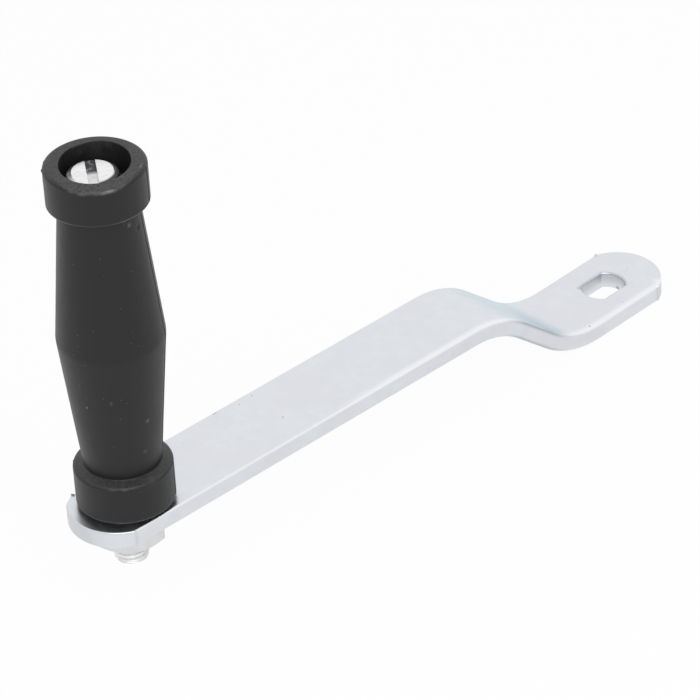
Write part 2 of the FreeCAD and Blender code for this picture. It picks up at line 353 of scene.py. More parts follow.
@dataclass(frozen=True)
class TurnedSteel:
    """Bright steel with a turned head: sharper and brighter than the plated bar, with the lathe's fine rings.

    The head's shoulder and the far end of its slot were left as forged and sawn, so they are rougher. Painted
    shade darkens them in patches: the slot, most at its far end, and the shoulder, as a painted reflection of
    the dark recess wall.
    """

    name: str = "turned_screw_steel"
    colour: str = "#efefef"
    smeared: str = "#e4e4e5"
    # Painted shade, and the painted reflection of the dark recess wall on the shoulder
    painted_shade: str = "#4a4b4e"
    metal_in_painted_shade: float = 0.4
    roughness: Span = Span(0.2, 0.45)
    unevenness: Span = Span(0.7, 1.4)
    smear_mm: float = 1.2
    smear_detail: float = 3.0
    smears: Span = Span(0.45, 0.75)
    painted_shade_patches: Span = Span(0.15, 0.42)
    unturned_mm: Span = Span(100.5, 100.25)
    in_head_mm: Span = Span(90.0, 91.0)
    disc_centre: Point2 = (-0.557, 0.502)
    shoulder_mm: Span = Span(5.5, 5.7)
    slot_turn: float = 55.0
    slot_end_mm: Span = Span(0.5, 2.0)
    slot_painted_shade: float = 0.12
    # The lathe's real rings are about 0.1 mm apart. They are drawn a pixel apart, or they don't show.
    ring_spacing_mm: float = 0.3
    ring_wander: float = 1.5
    ring_height_mm: float = 0.004

    def painted_shade_share(self, tree: Tree, place: Source, smears: Source) -> tuple[Source, Source]:
        """Finds where painted shade lies on the steel: in patches on the shoulder, as a painted reflection of
        the dark recess wall, and in the slot, most at its far end.

        Args:
            tree: The material's node tree.
            place: Coordinates in millimetres.
            smears: The pattern that the patches follow.

        Returns:
            What gives the share of the painted shade, and where the lathe didn't reach.
        """
        height = add_node(tree, "SeparateXYZ", links={"Vector": place}).outputs["Z"]
        turn = math.radians(self.slot_turn)
        middle, along_slot = (*self.disc_centre, 0.0), (math.cos(turn), math.sin(turn), 0.0)
        aside = add_node(tree, "VectorMath", {"operation": "SUBTRACT", 1: middle}, {0: place})
        flat = add_node(tree, "VectorMath", {"operation": "MULTIPLY", 1: (1.0, 1.0, 0.0)}, {0: aside})
        reach = add_node(tree, "VectorMath", {"operation": "LENGTH"}, {0: flat})
        run = add_node(tree, "VectorMath", {"operation": "DOT_PRODUCT", 1: along_slot}, {0: flat})
        on_shoulder = add_node(tree, "MapRange", self.shoulder_mm.read(), {"Value": reach})
        # Painted shade in the slot: light at its near side and full at its far end
        settings = {**self.slot_end_mm.read(), "To Min": self.slot_painted_shade}
        in_slot = add_node(tree, "MapRange", settings, {"Value": run})
        in_painted_shade = add_node(tree, "Math", {"operation": "MAXIMUM"}, {0: on_shoulder, 1: in_slot})
        painted_shade = add_node(tree, "MapRange", self.painted_shade_patches.read(), {"Value": smears})
        unturned = add_node(tree, "MapRange", self.unturned_mm.read(), {"Value": height})
        in_head = add_node(tree, "MapRange", self.in_head_mm.read(), {"Value": height})
        for share in (in_painted_shade, unturned, in_head):
            painted_shade = add_node(tree, "Math", {"operation": "MULTIPLY"}, {0: painted_shade, 1: share})
        return painted_shade, unturned

    def build(self) -> Finish:
        """Makes the finish.

        Returns:
            The finished material.
        """
        material, tree = new_surface(self.name)
        place = place_in_mm(tree, Coordinates.OBJECT)
        settings = {"wave_type": "RINGS", "rings_direction": "Z", "Scale": WAVE_RING / self.ring_spacing_mm,
                    "Distortion": self.ring_wander}
        rings = add_node(tree, "TexWave", settings, {"Vector": place}).outputs["Fac"]
        settings = {"Scale": 1 / self.smear_mm, "Detail": self.smear_detail}
        smears = add_node(tree, "TexNoise", settings, {"Vector": place})
        painted_shade, unturned = self.painted_shade_share(tree, place, smears)
        dull = add_node(tree, "MapRange", self.smears.read(), {"Value": smears})
        base = lay_colours(tree, self.colour, ((self.smeared, dull), (self.painted_shade, painted_shade)))
        bare = add_node(tree, "MapRange", Span(1.0, self.metal_in_painted_shade).given(), {"Value": painted_shade})
        finish = add_node(tree, "MapRange", self.roughness.given(), {"Value": unturned})
        uneven = add_node(tree, "MapRange", self.unevenness.given(), {"Value": smears})
        rough = add_node(tree, "Math", {"operation": "MULTIPLY"}, {0: finish, 1: uneven})
        tooling = add_node(tree, "Bump", {"Distance": self.ring_height_mm * MM}, {"Height": rings})
        shader = add_node(tree, "BsdfPrincipled", None,
                          {"Base Color": base, "Metallic": bare, "Roughness": rough, "Normal": tooling})
        add_node(tree, "OutputMaterial", links={"Surface": shader})
        return material


@dataclass(frozen=True)
class MouldedPlastic:
    """Black injection-moulded polypropylene: near black in itself, so what is seen is its satin skin.

    The skin has the fine grain of a blasted mould, and it turns pale grey where it was scuffed, and where
    highlights are painted on.
    """

    name: str = "moulded_polypropylene"
    colour: str = "#0f0f10"
    faded_colour: str = "#161617"
    scuff_and_highlight_colour: str = "#a8a8a8"
    ior: float = 1.49
    specular_level: float = 0.4
    roughness: Span = Span(0.357, 0.504)
    flow_mm: float = 9.0
    flow_detail: float = 5.0
    flow_contrast: float = 0.6
    speck_spacing_mm: float = 2.6
    speck_radius_mm: float = 0.16
    speck_core: float = 0.4
    speck_paleness: float = 0.3
    # The grain of a blasted mould is about 0.05 mm wide. It is drawn a pixel wide, or it doesn't show.
    grain_mm: float = 0.3
    grain_detail: float = 3.0
    grain_height_mm: float = 0.012

    def build(self) -> Finish:
        """Makes the finish.

        Returns:
            The finished material.
        """
        material, tree = new_surface(self.name)
        place = place_in_mm(tree, Coordinates.OBJECT)
        settings = {"Scale": 1 / self.flow_mm, "Detail": self.flow_detail, "Roughness": self.flow_contrast}
        flow = add_node(tree, "TexNoise", settings, {"Vector": place})
        settings = {"Scale": 1 / self.grain_mm, "Detail": self.grain_detail}
        grain = add_node(tree, "TexNoise", settings, {"Vector": place})
        settings = {"Scale": 1 / self.speck_spacing_mm}
        specks = add_node(tree, "TexVoronoi", settings, {"Vector": place})
        radius = self.speck_radius_mm / self.speck_spacing_mm
        settings = {**Span(radius, radius * self.speck_core).read(), "To Max": self.speck_paleness}
        speck = add_node(tree, "MapRange", settings, {"Value": specks})
        # Real scuffs and specks, with the painted sheen and painted highlights that the mesh carries
        scuff_and_highlight = add_node(tree, "Attribute", {"attribute_name": "scuff_and_highlight"}).outputs["Fac"]
        worn = add_node(tree, "Math", {"operation": "MAXIMUM"}, {0: scuff_and_highlight, 1: speck})
        base = lay_colours(tree, self.colour, ((self.faded_colour, flow), (self.scuff_and_highlight_colour, worn)))
        rough = add_node(tree, "MapRange", self.roughness.given(), {"Value": flow})
        skin = add_node(tree, "Bump", {"Distance": self.grain_height_mm * MM}, {"Height": grain})
        settings = {"IOR": self.ior, "Specular IOR Level": self.specular_level}
        shader = add_node(tree, "BsdfPrincipled", settings,
                          {"Base Color": base, "Roughness": rough, "Normal": skin})
        add_node(tree, "OutputMaterial", links={"Surface": shader})
        return material


def shade_smooth(mesh: bpy.types.Mesh) -> None:
    """Shades every face of a mesh smoothly."""
    mesh.polygons.foreach_set("use_smooth", [True] * len(mesh.polygons))
    mesh.update()


def make_piece(name: str, vertices: Array, faces: Sequence[Sequence[int]], place: Matrix) -> Piece:
    """Makes a smooth-shaded object whose faces all point outwards.

    Args:
        name: The piece's name.
        vertices: One row of x, y and z in millimetres for each vertex, in the piece's own frame.
        faces: The vertex numbers of each face.
        place: The piece's own frame in the model's frame, in metres.

    Returns:
        The new object, linked to the scene.
    """
    mesh = bpy.data.meshes.new(name)
    mesh.from_pydata((np.asarray(vertices, float) * MM).tolist(), [], [list(face) for face in faces])
    shell = bmesh.new()
    shell.from_mesh(mesh)
    bmesh.ops.recalc_face_normals(shell, faces=shell.faces[:])
    shell.to_mesh(mesh)
    shell.free()
    shade_smooth(mesh)
    piece = bpy.data.objects.new(name, mesh)
    bpy.context.scene.collection.objects.link(piece)
    piece.matrix_world = place
    return piece


def dress(piece: Piece, material: Finish) -> None:
    """Gives a piece its one material."""
    piece.data.materials.clear()
    piece.data.materials.append(material)


def keep_values(piece: Piece, name: str, values: Array) -> None:
    """Keeps a number or a vector for each vertex in the mesh, for the material to read.

    Args:
        piece: The object whose mesh holds the values.
        name: The attribute's name.
        values: One number, or one row of three, for each vertex.
    """
    is_vector = values.ndim == 2
    layer = piece.data.attributes.new(name, "FLOAT_VECTOR" if is_vector else "FLOAT", "POINT")
    layer.data.foreach_set("vector" if is_vector else "value", values.astype(np.float32).ravel())


def freeze(piece: Piece) -> None:
    """Applies a piece's modifiers to its mesh.

    Args:
        piece: The object that is changed.
    """
    bpy.context.view_layer.update()
    evaluated = piece.evaluated_get(bpy.context.evaluated_depsgraph_get())
    mesh = bpy.data.meshes.new_from_object(evaluated)
    piece.modifiers.clear()
    piece.data = mesh
    shade_smooth(mesh)


def combine(piece: Piece, other: Piece, operation: str) -> None:
    """Cuts another solid from a piece or fuses it to the piece, and removes the other.

    Args:
        piece: The object that is changed.
        other: The solid to cut or fuse, in the same frame.
        operation: DIFFERENCE or UNION.
    """
    modifier = piece.modifiers.new("combine", "BOOLEAN")
    modifier.object = other
    modifier.operation = operation
    modifier.solver = "EXACT"
    freeze(piece)
    bpy.data.objects.remove(other)


def soften(piece: Piece, width_mm: float) -> None:
    """Rounds a piece's sharp edges.

    Args:
        piece: The object that is changed.
        width_mm: How wide the rounding is.
    """
    modifier = piece.modifiers.new("soften", "BEVEL")
    modifier.width = width_mm * MM
    modifier.segments = SOFT_STEPS
    modifier.limit_method = "ANGLE"
    modifier.angle_limit = SHARP_EDGE
    freeze(piece)


def closed_grid(rows: int, columns: int) -> list[tuple[int, int, int, int]]:
    """Faces of a grid that closes on itself both ways.

    Args:
        rows: How many rows of vertices there are.
        columns: How many vertices each row has.

    Returns:
        The four vertex numbers of each face.
    """
    return [(row * columns + column, row * columns + (column + 1) % columns,
             (row + 1) % rows * columns + (column + 1) % columns, (row + 1) % rows * columns + column)
            for row in range(rows) for column in range(columns)]


def run_shares(length: float, count: int, support: float) -> list[float]:
    """Shares of a run at the points that divide it, with a support point near each end for a crisp corner."""
    near = min(LARGEST_SUPPORT / count, support / length)
    return [near, *(step / count for step in range(1, count)), 1 - near]


def rounded_outline(corners: Sequence[Corner], divisions: Sequence[int], support: float = 0.15,
                    arc_steps: int = 7) -> Array:
    """Walks round a closed outline, rounding its corners and dividing its straight runs.

    Outlines that share their divisions have matching points, so one can be blended into another.

    Args:
        corners: The corners in order.
        divisions: Into how many stretches the run after each corner is divided.
        support: How far from a corner the first point of a run is.
        arc_steps: How many steps each rounding has.

    Returns:
        One row of radius and height for each point.
    """
    places = [np.array([corner.radius, corner.height]) for corner in corners]
    arcs = []
    for index, corner in enumerate(corners):
        here, before, after = places[index], places[index - 1], places[(index + 1) % len(places)]
        incoming = (here - before) / np.linalg.norm(here - before)
        outgoing = (after - here) / np.linalg.norm(after - here)
        turn = math.atan2(incoming[0] * outgoing[1] - incoming[1] * outgoing[0], incoming @ outgoing)
        if corner.rounding == 0:
            arcs.append([here])
            continue
        reach = corner.rounding * math.tan(abs(turn) / 2)
        normal = np.array([-incoming[1], incoming[0]]) * math.copysign(1, turn)
        centre = here - incoming * reach + normal * corner.rounding
        angles = [abs(turn) * step / arc_steps for step in range(arc_steps + 1)]
        arcs.append([centre + corner.rounding * (incoming * math.sin(angle) - normal * math.cos(angle))
                     for angle in angles])
    points = []
    for index, (arc, count) in enumerate(zip(arcs, divisions)):
        points.extend(arc)
        start, end = arc[-1], arcs[(index + 1) % len(arcs)][0]
        shares = run_shares(float(np.linalg.norm(end - start)), count, support)
        points.extend(start + (end - start) * share for share in shares)
    return np.array(points)


def outline_normals(outline: Array) -> Array:
    """Finds the directions out of the solid along an outline that runs up its outside.

    Args:
        outline: One row of radius and height for each point.

    Returns:
        One row of the normal's radial and upward parts for each point.
    """
    run = np.roll(outline, -1, 0) - np.roll(outline, 1, 0)
    normals = np.stack([run[:, 1], -run[:, 0]], -1)
    return normals / np.linalg.norm(normals, axis=1)[:, None]


def even_turns(count: int, start: float = 0.0) -> Array:
    """Even angles round a full turn, in radians."""
    return np.linspace(start, start + TURN, count, endpoint=False)


def wrapped(angles: Array, turn: float = TURN) -> Array:
    """Brings angles to within half a turn either side of 0."""
    return (angles + turn / 2) % turn - turn / 2


def lathe(outline: Array, azimuths: Array) -> Array:
    """Turns an outline about Z.

    Args:
        outline: One row of radius and height for each point.
        azimuths: The angles of the copies, in radians.

    Returns:
        One row of x, y and z for each vertex, outline point by outline point.
    """
    radii, heights = outline[:, 0, None], outline[:, 1, None]
    x = radii * np.cos(azimuths)
    y = radii * np.sin(azimuths)
    z = np.broadcast_to(heights, x.shape)
    return np.stack([x, y, z], -1).reshape(-1, 3)


def smooth_minimum(values: Sequence[Array], blend: float) -> Array:
    """The least of several values, with the creases between them rounded over the blend."""
    return -blend * np.log(sum(np.exp(-value / blend) for value in values))


def roughness_field(points: Array, size_mm: float, seed: float) -> Array:
    """Smooth noise from about -1 to 1 at each point, in bumps of a given size. The seed moves the pattern."""
    shift = Vector((seed, -seed, seed / 2))
    return np.array([noise.noise(Vector(point) / size_mm + shift) for point in points])


def speckles(points: Array, size_mm: float, seed: float) -> Array:
    """The same noise as the roughness field, from about 0 to 1."""
    return (1 + roughness_field(points, size_mm, seed)) / 2


@dataclass
class Spindle:
    """The frame that the grip, the screw, the nut and the washer share."""

    joint: dict[str, Any]
    frame: Matrix = field(init=False)

    def __post_init__(self) -> None:
        """Works out the frame from the joint's point and axis."""
        axis = Vector(self.joint["axis"])
        lean = math.atan2(axis.x, axis.z)
        self.frame = Matrix.Translation(self.joint["pos_m"]) @ Matrix.Rotation(lean, 4, "Y")


@dataclass
class BarPath:
    """The mid line of the bent bar, from its drive end to its handle end, as a bender would set it out."""

    thickness: float = 5.0
    seat_length: float = 14.5
    lower_bend_radius: float = 30.0
    joggle_angle: float = 41.5
    joggle_straight: float = 14.3
    upper_bend_radius: float = 28.0
    lean: float = 2.5
    throw: float = 179.6
    spindle: float = field(init=False)
    spans: list[tuple[float, Array, float, float]] = field(init=False)

    def __post_init__(self) -> None:
        """Chains the spans, and finds how far along the flat blank the spindle is."""
        lower = math.radians(self.joggle_angle)
        upper = math.radians(self.joggle_angle - self.lean)
        lengths = (self.seat_length, self.lower_bend_radius * lower, self.joggle_straight,
                   self.upper_bend_radius * upper)
        curvatures = (0.0, 1 / self.lower_bend_radius, 0.0, -1 / self.upper_bend_radius, 0.0)
        start, heading, along = np.array([0.0, self.thickness / 2]), math.pi, 0.0
        self.spans = []
        for curvature, length in zip(curvatures, (*lengths, 0.0)):
            self.spans.append((along, start, heading, curvature))
            start, heading = self.step(start, heading, curvature, np.array([length]))
            start, heading, along = start[0], float(heading[0]), along + length
        last_start = self.spans[-1][1]
        top = self.top_normal(np.array([heading]))[0] * self.thickness / 2
        self.spindle = along + (-self.throw - top[0] - last_start[0]) / math.cos(heading)

    @staticmethod
    def top_normal(heading: Array) -> Array:
        """Direction towards the bar's top face, in X and Z, for headings in radians."""
        return np.stack([np.sin(heading), -np.cos(heading)], -1)

    def step(self, start: Array, heading: float, curvature: float, run: Array) -> tuple[Array, Array]:
        """Walks along one span.

        Args:
            start: The span's first point, in X and Z.
            heading: Its heading there, in radians.
            curvature: One over its radius, above 0 where it curls towards its top face, or 0.
            run: How far to walk, for each point.

        Returns:
            The points and the headings there.
        """
        headings = heading - curvature * run
        if curvature == 0:
            direction = np.array([math.cos(heading), math.sin(heading)])
            return start + run[:, None] * direction, headings
        centre = start + self.top_normal(np.array([heading]))[0] / curvature
        return centre - self.top_normal(headings) / curvature, headings

    def bend(self, blank: Array) -> Array:
        """Carries points of the flat blank to where bending puts them.

        Args:
            blank: Rows of the distance along the blank from the drive hole, the distance across it, and the
                height over its mid plane.

        Returns:
            Rows of x, y and z in the model's frame.
        """
        along, across, height = blank.T
        bent = np.zeros((len(blank), 3))
        starts = [span[0] for span in self.spans]
        numbers = np.clip(np.searchsorted(starts, along, side="right") - 1, 0, len(self.spans) - 1)
        for number, (first, start, heading, curvature) in enumerate(self.spans):
            chosen = numbers == number
            points, headings = self.step(start, heading, curvature, along[chosen] - first)
            points = points + self.top_normal(headings) * height[chosen, None]
            bent[chosen] = np.stack([points[:, 0], across[chosen], points[:, 1]], -1)
        return bent


@dataclass
class EdgeLoop:
    """A closed edge of the flat blank, with the shape of its section from the top face to the bottom face."""

    points: Array
    top_rounding: Array
    bottom_rounding: Array
    outward: float = 1.0
    support: float = 0.25
    arc_steps: int = 6
    wall_steps: int = 8

    def mitres(self) -> Array:
        """Finds the directions that set the loop off by one millimetre, away from the metal.

        Returns:
            One row of along and across for each point.
        """
        before = self.points - np.roll(self.points, 1, 0)
        after = np.roll(self.points, -1, 0) - self.points
        sides = [np.stack([run[:, 1], -run[:, 0]], -1) / np.linalg.norm(run, axis=1)[:, None]
                 for run in (before, after)]
        total = sides[0] + sides[1]
        return self.outward * total / (1 + np.sum(sides[0] * sides[1], -1))[:, None]

    def rows(self, thickness: float) -> list[Array]:
        """Sets out the edge's rows of points, from the top face's rim to the bottom face's rim.

        Args:
            thickness: The bar's thickness.

        Returns:
            For each row, one row of along, across and height for each point of the loop.
        """
        mitres = self.mitres()
        half = thickness / 2
        steps = [math.pi / 2 * step / self.arc_steps for step in range(self.arc_steps + 1)]
        profile = [(self.top_rounding + self.support, np.full(len(self.points), half))]
        for angle in steps:
            profile.append((self.top_rounding * (1 - math.sin(angle)),
                            half - self.top_rounding * (1 - math.cos(angle))))
        upper, lower = half - self.top_rounding, self.bottom_rounding - half
        for step in range(1, self.wall_steps):
            profile.append((np.zeros(len(self.points)), upper + (lower - upper) * step / self.wall_steps))
        for angle in reversed(steps):
            profile.append((self.bottom_rounding * (1 - math.sin(angle)),
                            self.bottom_rounding * (1 - math.cos(angle)) - half))
        profile.append((self.bottom_rounding + self.support, np.full(len(self.points), -half)))
        return [np.column_stack([self.points - mitres * inset[:, None], height]) for inset, height in profile]


@dataclass(frozen=True)
class Flaw:
    """A burr, a pit, a stain or a spot of painted shade, placed on the blank by how far along, across and over
    its mid plane it is.
    """

    along: float
    across: float
    height: float
    reach: float
    rise: float
    dark: float


@dataclass(frozen=True)
class PlateTintAndPaintedLight:
    """Where the bar's plate is tinted, and where highlights and shade are painted on it, in millimetres on the
    flat blank.
    """

    tinted: Span = Span(25.0, 61.0)
    tint_fade: float = 12.0
    tint_clouds: float = 0.3
    cloud_mm: float = 5.0
    cloud_seed: float = 17.0
    face_height: Span = Span(1.9, 2.4)
    # Painted highlight on the top face along the front edge, kept off the joggle
    painted_highlight: float = 0.75
    painted_highlight_width: Span = Span(0.95, 2.6)
    painted_highlight_blur: float = 0.8
    narrow_run: float = 50.0
    # Painted shade: a dark line along the top front edge round the joggle
    joggle_edge_shade: float = 0.35
    line_width: Span = Span(0.55, 0.2)
    line_height: Span = Span(1.7, 1.9)
    # Painted shade in the crease at each front corner, where a long side meets a round end
    corner_shade: float = 0.12
    corner_reach: Span = Span(0.6, 0.1)
    end_band: Span = Span(0.4, 0.1)
    # How much darker the drive end and the handle end are drawn
    drive_end_darkening: float = 0.15
    handle_end_darkening: float = 0.18
    end_rim: Span = Span(2.1, 2.3)
    back_half: Span = Span(-9.0, 0.0)
    # Painted shade on the drive hole's rim, on the side away from the light
    hole_rim_shade: float = 0.28
    hole_azimuth: float = 48.0
    hole_side: Span = Span(-3.0, 1.0)
    hole_reach: Span = Span(0.8, 0.4)
    hole_height: Span = Span(-2.2, 1.2)


@dataclass
class CrankArm:
    """The joggled flat bar: cut and punched as a flat blank, then bent, as the real one is made."""

    path: BarPath = field(default_factory=BarPath)
    wear_and_painted_light: PlateTintAndPaintedLight = PlateTintAndPaintedLight()
    width: float = 25.0
    edge_radius: float = 0.7
    end_edge_radius: float = 0.3
    drive_tip: float = 18.3
    drive_end_radius: float = 13.4
    handle_tip: float = 15.9
    handle_end_radius: float = 14.4
    handle_end_offset: float = 0.5
    hole_diameter: float = 12.7
    hole_flats: float = 9.3
    hole_corner_blend: float = 0.0625
    punch_roll: float = 0.5
    punch_burr: float = 0.08
    tapped_diameter: float = 9.5
    tap_chamfer: float = 0.6
    corner_relief: float = 0.8
    relief_reach: float = 5.0
    relief_direction: Point2 = (0.6, 0.8)
    flaws: tuple[Flaw, ...] = (
        Flaw(-9.6, 12.2, 2.5, 0.9, 0.55, 0.4),
        Flaw(195.8, 11.7, 2.35, 1.0, 0.65, 1.0),
        Flaw(17.5, -11.0, 2.5, 0.5, -0.1, 1.0),
        Flaw(5.3, 4.3, 2.4, 1.2, -0.12, 0.45),
        # Painted shade: a dark spot low on the drive hole's wall, with no dent
        Flaw(-6.3, 0.4, -2.0, 0.8, 0.0, 1.0),
        Flaw(145.1, 12.1, 2.4, 0.9, -0.15, 1.0),
        Flaw(134.1, -3.0, 2.5, 0.5, -0.08, 0.55),
        Flaw(133.1, 10.5, 2.5, 0.5, -0.06, 0.5),
        Flaw(138.1, 10.0, 2.5, 0.4, -0.06, 0.4),
    )
    flaw_rings: tuple[float, ...] = (0.35, 0.7, 1.0)
    flaw_sides: int = 10
    flaw_from_side: float = 1.2
    flaw_from_hole: float = 8.0
    side_step: float = 1.0
    arc_step: float = 0.5
    corner_step: float = 0.3
    hole_step: float = 0.3
    face_step: float = 2.0

    def end_arc(self, centre: Point2, radius: float, start: Point2, end: Point2) -> list[Point2]:
        """Sets out a round end, from one long side to the other.

        Args:
            centre: The arc's centre, along and across.
            radius: Its radius.
            start: The corner it starts from.
            end: The corner it ends at.

        Returns:
            Its points, without the last.
        """
        first = math.atan2(start[1] - centre[1], start[0] - centre[0])
        last = math.atan2(end[1] - centre[1], end[0] - centre[0])
        turn = (last - first) % TURN
        length = radius * turn
        shares = [0.0, *run_shares(length, max(2, round(length / self.arc_step)), self.corner_step)]
        angles = [first + turn * share for share in shares]
        return [(centre[0] + radius * math.cos(angle), centre[1] + radius * math.sin(angle))
                for angle in angles]

    def side_run(self, start: Point2, end: Point2) -> list[Point2]:
        """Sets out a long side.

        Args:
            start: The corner it starts from.
            end: The corner it ends at.

        Returns:
            Its points, without the last.
        """
        length = math.dist(start, end)
        shares = [0.0, *run_shares(length, max(2, round(length / self.side_step)), self.corner_step)]
        return [(start[0] + (end[0] - start[0]) * share, start[1]) for share in shares]

    def end_centres(self) -> tuple[Point2, Point2]:
        """Centres of the round ends on the blank: the drive end's and the handle end's."""
        drive = (self.drive_end_radius - self.drive_tip, 0.0)
        return drive, (self.path.spindle + self.handle_tip - self.handle_end_radius, self.handle_end_offset)

    def corners(self) -> list[Point2]:
        """Finds where the blank's long sides meet its round ends.

        Returns:
            The two front corners and then the two back ones, in order round the blank.
        """
        half = self.width / 2
        drive, handle = self.end_centres()
        drive_corner = drive[0] - math.sqrt(self.drive_end_radius ** 2 - half ** 2)
        front = handle[0] + math.sqrt(self.handle_end_radius ** 2 - (half + handle[1]) ** 2)
        back = handle[0] + math.sqrt(self.handle_end_radius ** 2 - (half - handle[1]) ** 2)
        return [(drive_corner, -half), (front, -half), (back, half), (drive_corner, half)]

    def blank_edge(self) -> EdgeLoop:
        """Sets out the blank's outer edge: two long rolled sides and two round sheared ends.

        Returns:
            The edge.
        """
        drive, handle = self.end_centres()
        corners = self.corners()
        sides = [self.side_run(corners[0], corners[1]), self.side_run(corners[2], corners[3])]
        ends = [self.end_arc(handle, self.handle_end_radius, corners[1], corners[2]),
                self.end_arc(drive, self.drive_end_radius, corners[3], corners[0])]
        points = np.array(sides[0] + ends[0] + sides[1] + ends[1])
        is_side = np.isclose(np.abs(points[:, 1]), self.width / 2)
        rounding = np.where(is_side, self.edge_radius, self.end_edge_radius)
        worn = Span(self.relief_reach, 0.0).rise(np.linalg.norm(points - corners[2], axis=1))
        points -= self.corner_relief * worn[:, None] * np.array(self.relief_direction)
        return EdgeLoop(points, rounding, rounding)

    def hole_turns(self, radius: float) -> Array:
        """Even angles round a hole of this radius, in radians."""
        return even_turns(round(TURN * radius / self.hole_step))

    def drive_hole_edge(self) -> EdgeLoop:
        """Sets out the punched double-D hole, rolled over at the top where the punch went in.

        Returns:
            Its edge.
        """
        radius, flat = self.hole_diameter / 2, self.hole_flats / 2
        directions = self.hole_turns(radius)
        with np.errstate(divide="ignore"):
            to_flat = np.minimum(flat / np.abs(np.sin(directions)), self.hole_diameter)
        reach = smooth_minimum([to_flat, np.full(len(directions), radius)], self.hole_corner_blend)
        points = np.stack([reach * np.cos(directions), reach * np.sin(directions)], -1)
        roll, burr = np.full(len(points), self.punch_roll), np.full(len(points), self.punch_burr)
        return EdgeLoop(points, roll, burr, outward=-1.0)

    def tapped_hole_edge(self) -> EdgeLoop:
        """Sets out the hole that the spindle screw is threaded through.

        Returns:
            Its edge.
        """
        radius = self.tapped_diameter / 2
        directions = self.hole_turns(radius)
        points = np.stack([self.path.spindle + radius * np.cos(directions), radius * np.sin(directions)], -1)
        chamfer = np.full(len(points), self.tap_chamfer)
        return EdgeLoop(points, chamfer, chamfer, outward=-1.0)

    def face_grid(self, rim: Array, holes: Sequence[Array]) -> Array:
        """Points that divide a flat face, clear of its rim and its holes.

        Args:
            rim: The face's rim, in along and across.
            holes: The rims of its holes.

        Returns:
            One row of along and across for each point.
        """
        low, high = rim.min(0), rim.max(0)
        along = np.arange(low[0], high[0], self.face_step)
        across = np.linspace(low[1], high[1], round((high[1] - low[1]) / self.face_step) + 1)
        grid = np.stack(np.meshgrid(along, across), -1).reshape(-1, 2)
        inner = self.flaw_points()
        borders = np.concatenate([rim, *holes])
        gaps = np.min(np.linalg.norm(grid[:, None] - borders[None], axis=2), axis=1)
        kept = grid[gaps > self.face_step / 2]
        clear = np.min(np.linalg.norm(kept[:, None] - inner[None], axis=2), axis=1) > self.face_step / 3
        return np.concatenate([kept[clear], inner])

    def flaw_points(self) -> Array:
        """Sets out extra points of the flat faces round each flaw that lies well inside them.

        Returns:
            One row of along and across for each point.
        """
        turns = [TURN * step / self.flaw_sides for step in range(self.flaw_sides)]
        points = [(flaw.along, flaw.across) for flaw in self.flaws]
        for flaw in self.flaws:
            for reach in (flaw.reach * share for share in self.flaw_rings):
                points += [(flaw.along + reach * math.cos(turn), flaw.across + reach * math.sin(turn))
                           for turn in turns]
        edge = self.width / 2 - self.flaw_from_side
        return np.array([point for point in points
                         if abs(point[1]) < edge and math.hypot(*point) > self.flaw_from_hole])

    def fill_face(self, loops: Sequence[Array]) -> tuple[Array, list[list[int]]]:
        """Divides a flat face with holes into triangles.

        Args:
            loops: The rim and then the holes, each with along and across for each point.

        Returns:
            The points, rims first and in order, and the triangles.
        """
        grid = self.face_grid(loops[0], loops[1:])
        points = np.concatenate([*loops, grid])
        borders, first = [], 0
        for loop in loops:
            numbers = range(first, first + len(loop))
            borders.extend(zip(numbers, [*numbers[1:], first]))
            first += len(loop)
        found = delaunay_2d_cdt([Vector(point) for point in points], borders, [], 0, SAME_POINT)
        places, triangles, origins = np.array([list(place) for place in found[0]]), found[2], found[3]
        names = [origin[0] for origin in origins]
        centres = np.array([places[list(triangle)].mean(0) for triangle in triangles])
        inside = self.is_inside(centres, loops[0])
        for hole in loops[1:]:
            inside &= ~self.is_inside(centres, hole)
        kept = [[names[corner] for corner in triangle] for triangle, keep in zip(triangles, inside) if keep]
        return points, kept

    @staticmethod
    def is_inside(points: Array, loop: Array) -> Array:
        """Tests whether points lie inside a loop, by how often a line to the right of each crosses it.

        Args:
            points: One row of along and across for each point.
            loop: The loop's points in order.

        Returns:
            True for each point that lies inside.
        """
        crossings = np.zeros(len(points), int)
        for (x1, y1), (x2, y2) in zip(loop, np.roll(loop, -1, 0)):
            spans = (y1 > points[:, 1]) != (y2 > points[:, 1])
            slope = (x2 - x1) / (y2 - y1) if y1 != y2 else 0.0
            crossings += spans & (points[:, 0] < x1 + slope * (points[:, 1] - y1))
        return crossings % 2 == 1

    @staticmethod
    def nearness(flaw: Flaw, blank: Array) -> Array:
        """Rises from 0 at a flaw's edge to 1 at its middle."""
        away = np.linalg.norm(blank - np.array([flaw.along, flaw.across, flaw.height]), axis=1)
        return Span(flaw.reach, 0.0).rise(away)

    def end_darkening(self, blank: Array) -> Array:
        """Says how much darker the sheared ends are drawn: the drive end below its rim, the other at its back
        and its rim.

        Args:
            blank: Rows of along, across and height over the mid plane.

        Returns:
            One share for each point.
        """
        along, across, height = blank.T
        wear_and_painted_light = self.wear_and_painted_light
        drive, handle = self.end_centres()
        from_drive_end = self.drive_end_radius - np.hypot(along - drive[0], across - drive[1])
        from_handle_end = self.handle_end_radius - np.hypot(along - handle[0], across - handle[1])
        on_drive_end = wear_and_painted_light.end_band.rise(from_drive_end) * (along < drive[0]) * (height < wear_and_painted_light.end_rim.start)
        on_handle_end = wear_and_painted_light.end_band.rise(from_handle_end) * (along > handle[0])
        dull = np.maximum(wear_and_painted_light.back_half.rise(across), wear_and_painted_light.end_rim.rise(height))
        return np.maximum(wear_and_painted_light.drive_end_darkening * on_drive_end, wear_and_painted_light.handle_end_darkening * on_handle_end * dull)

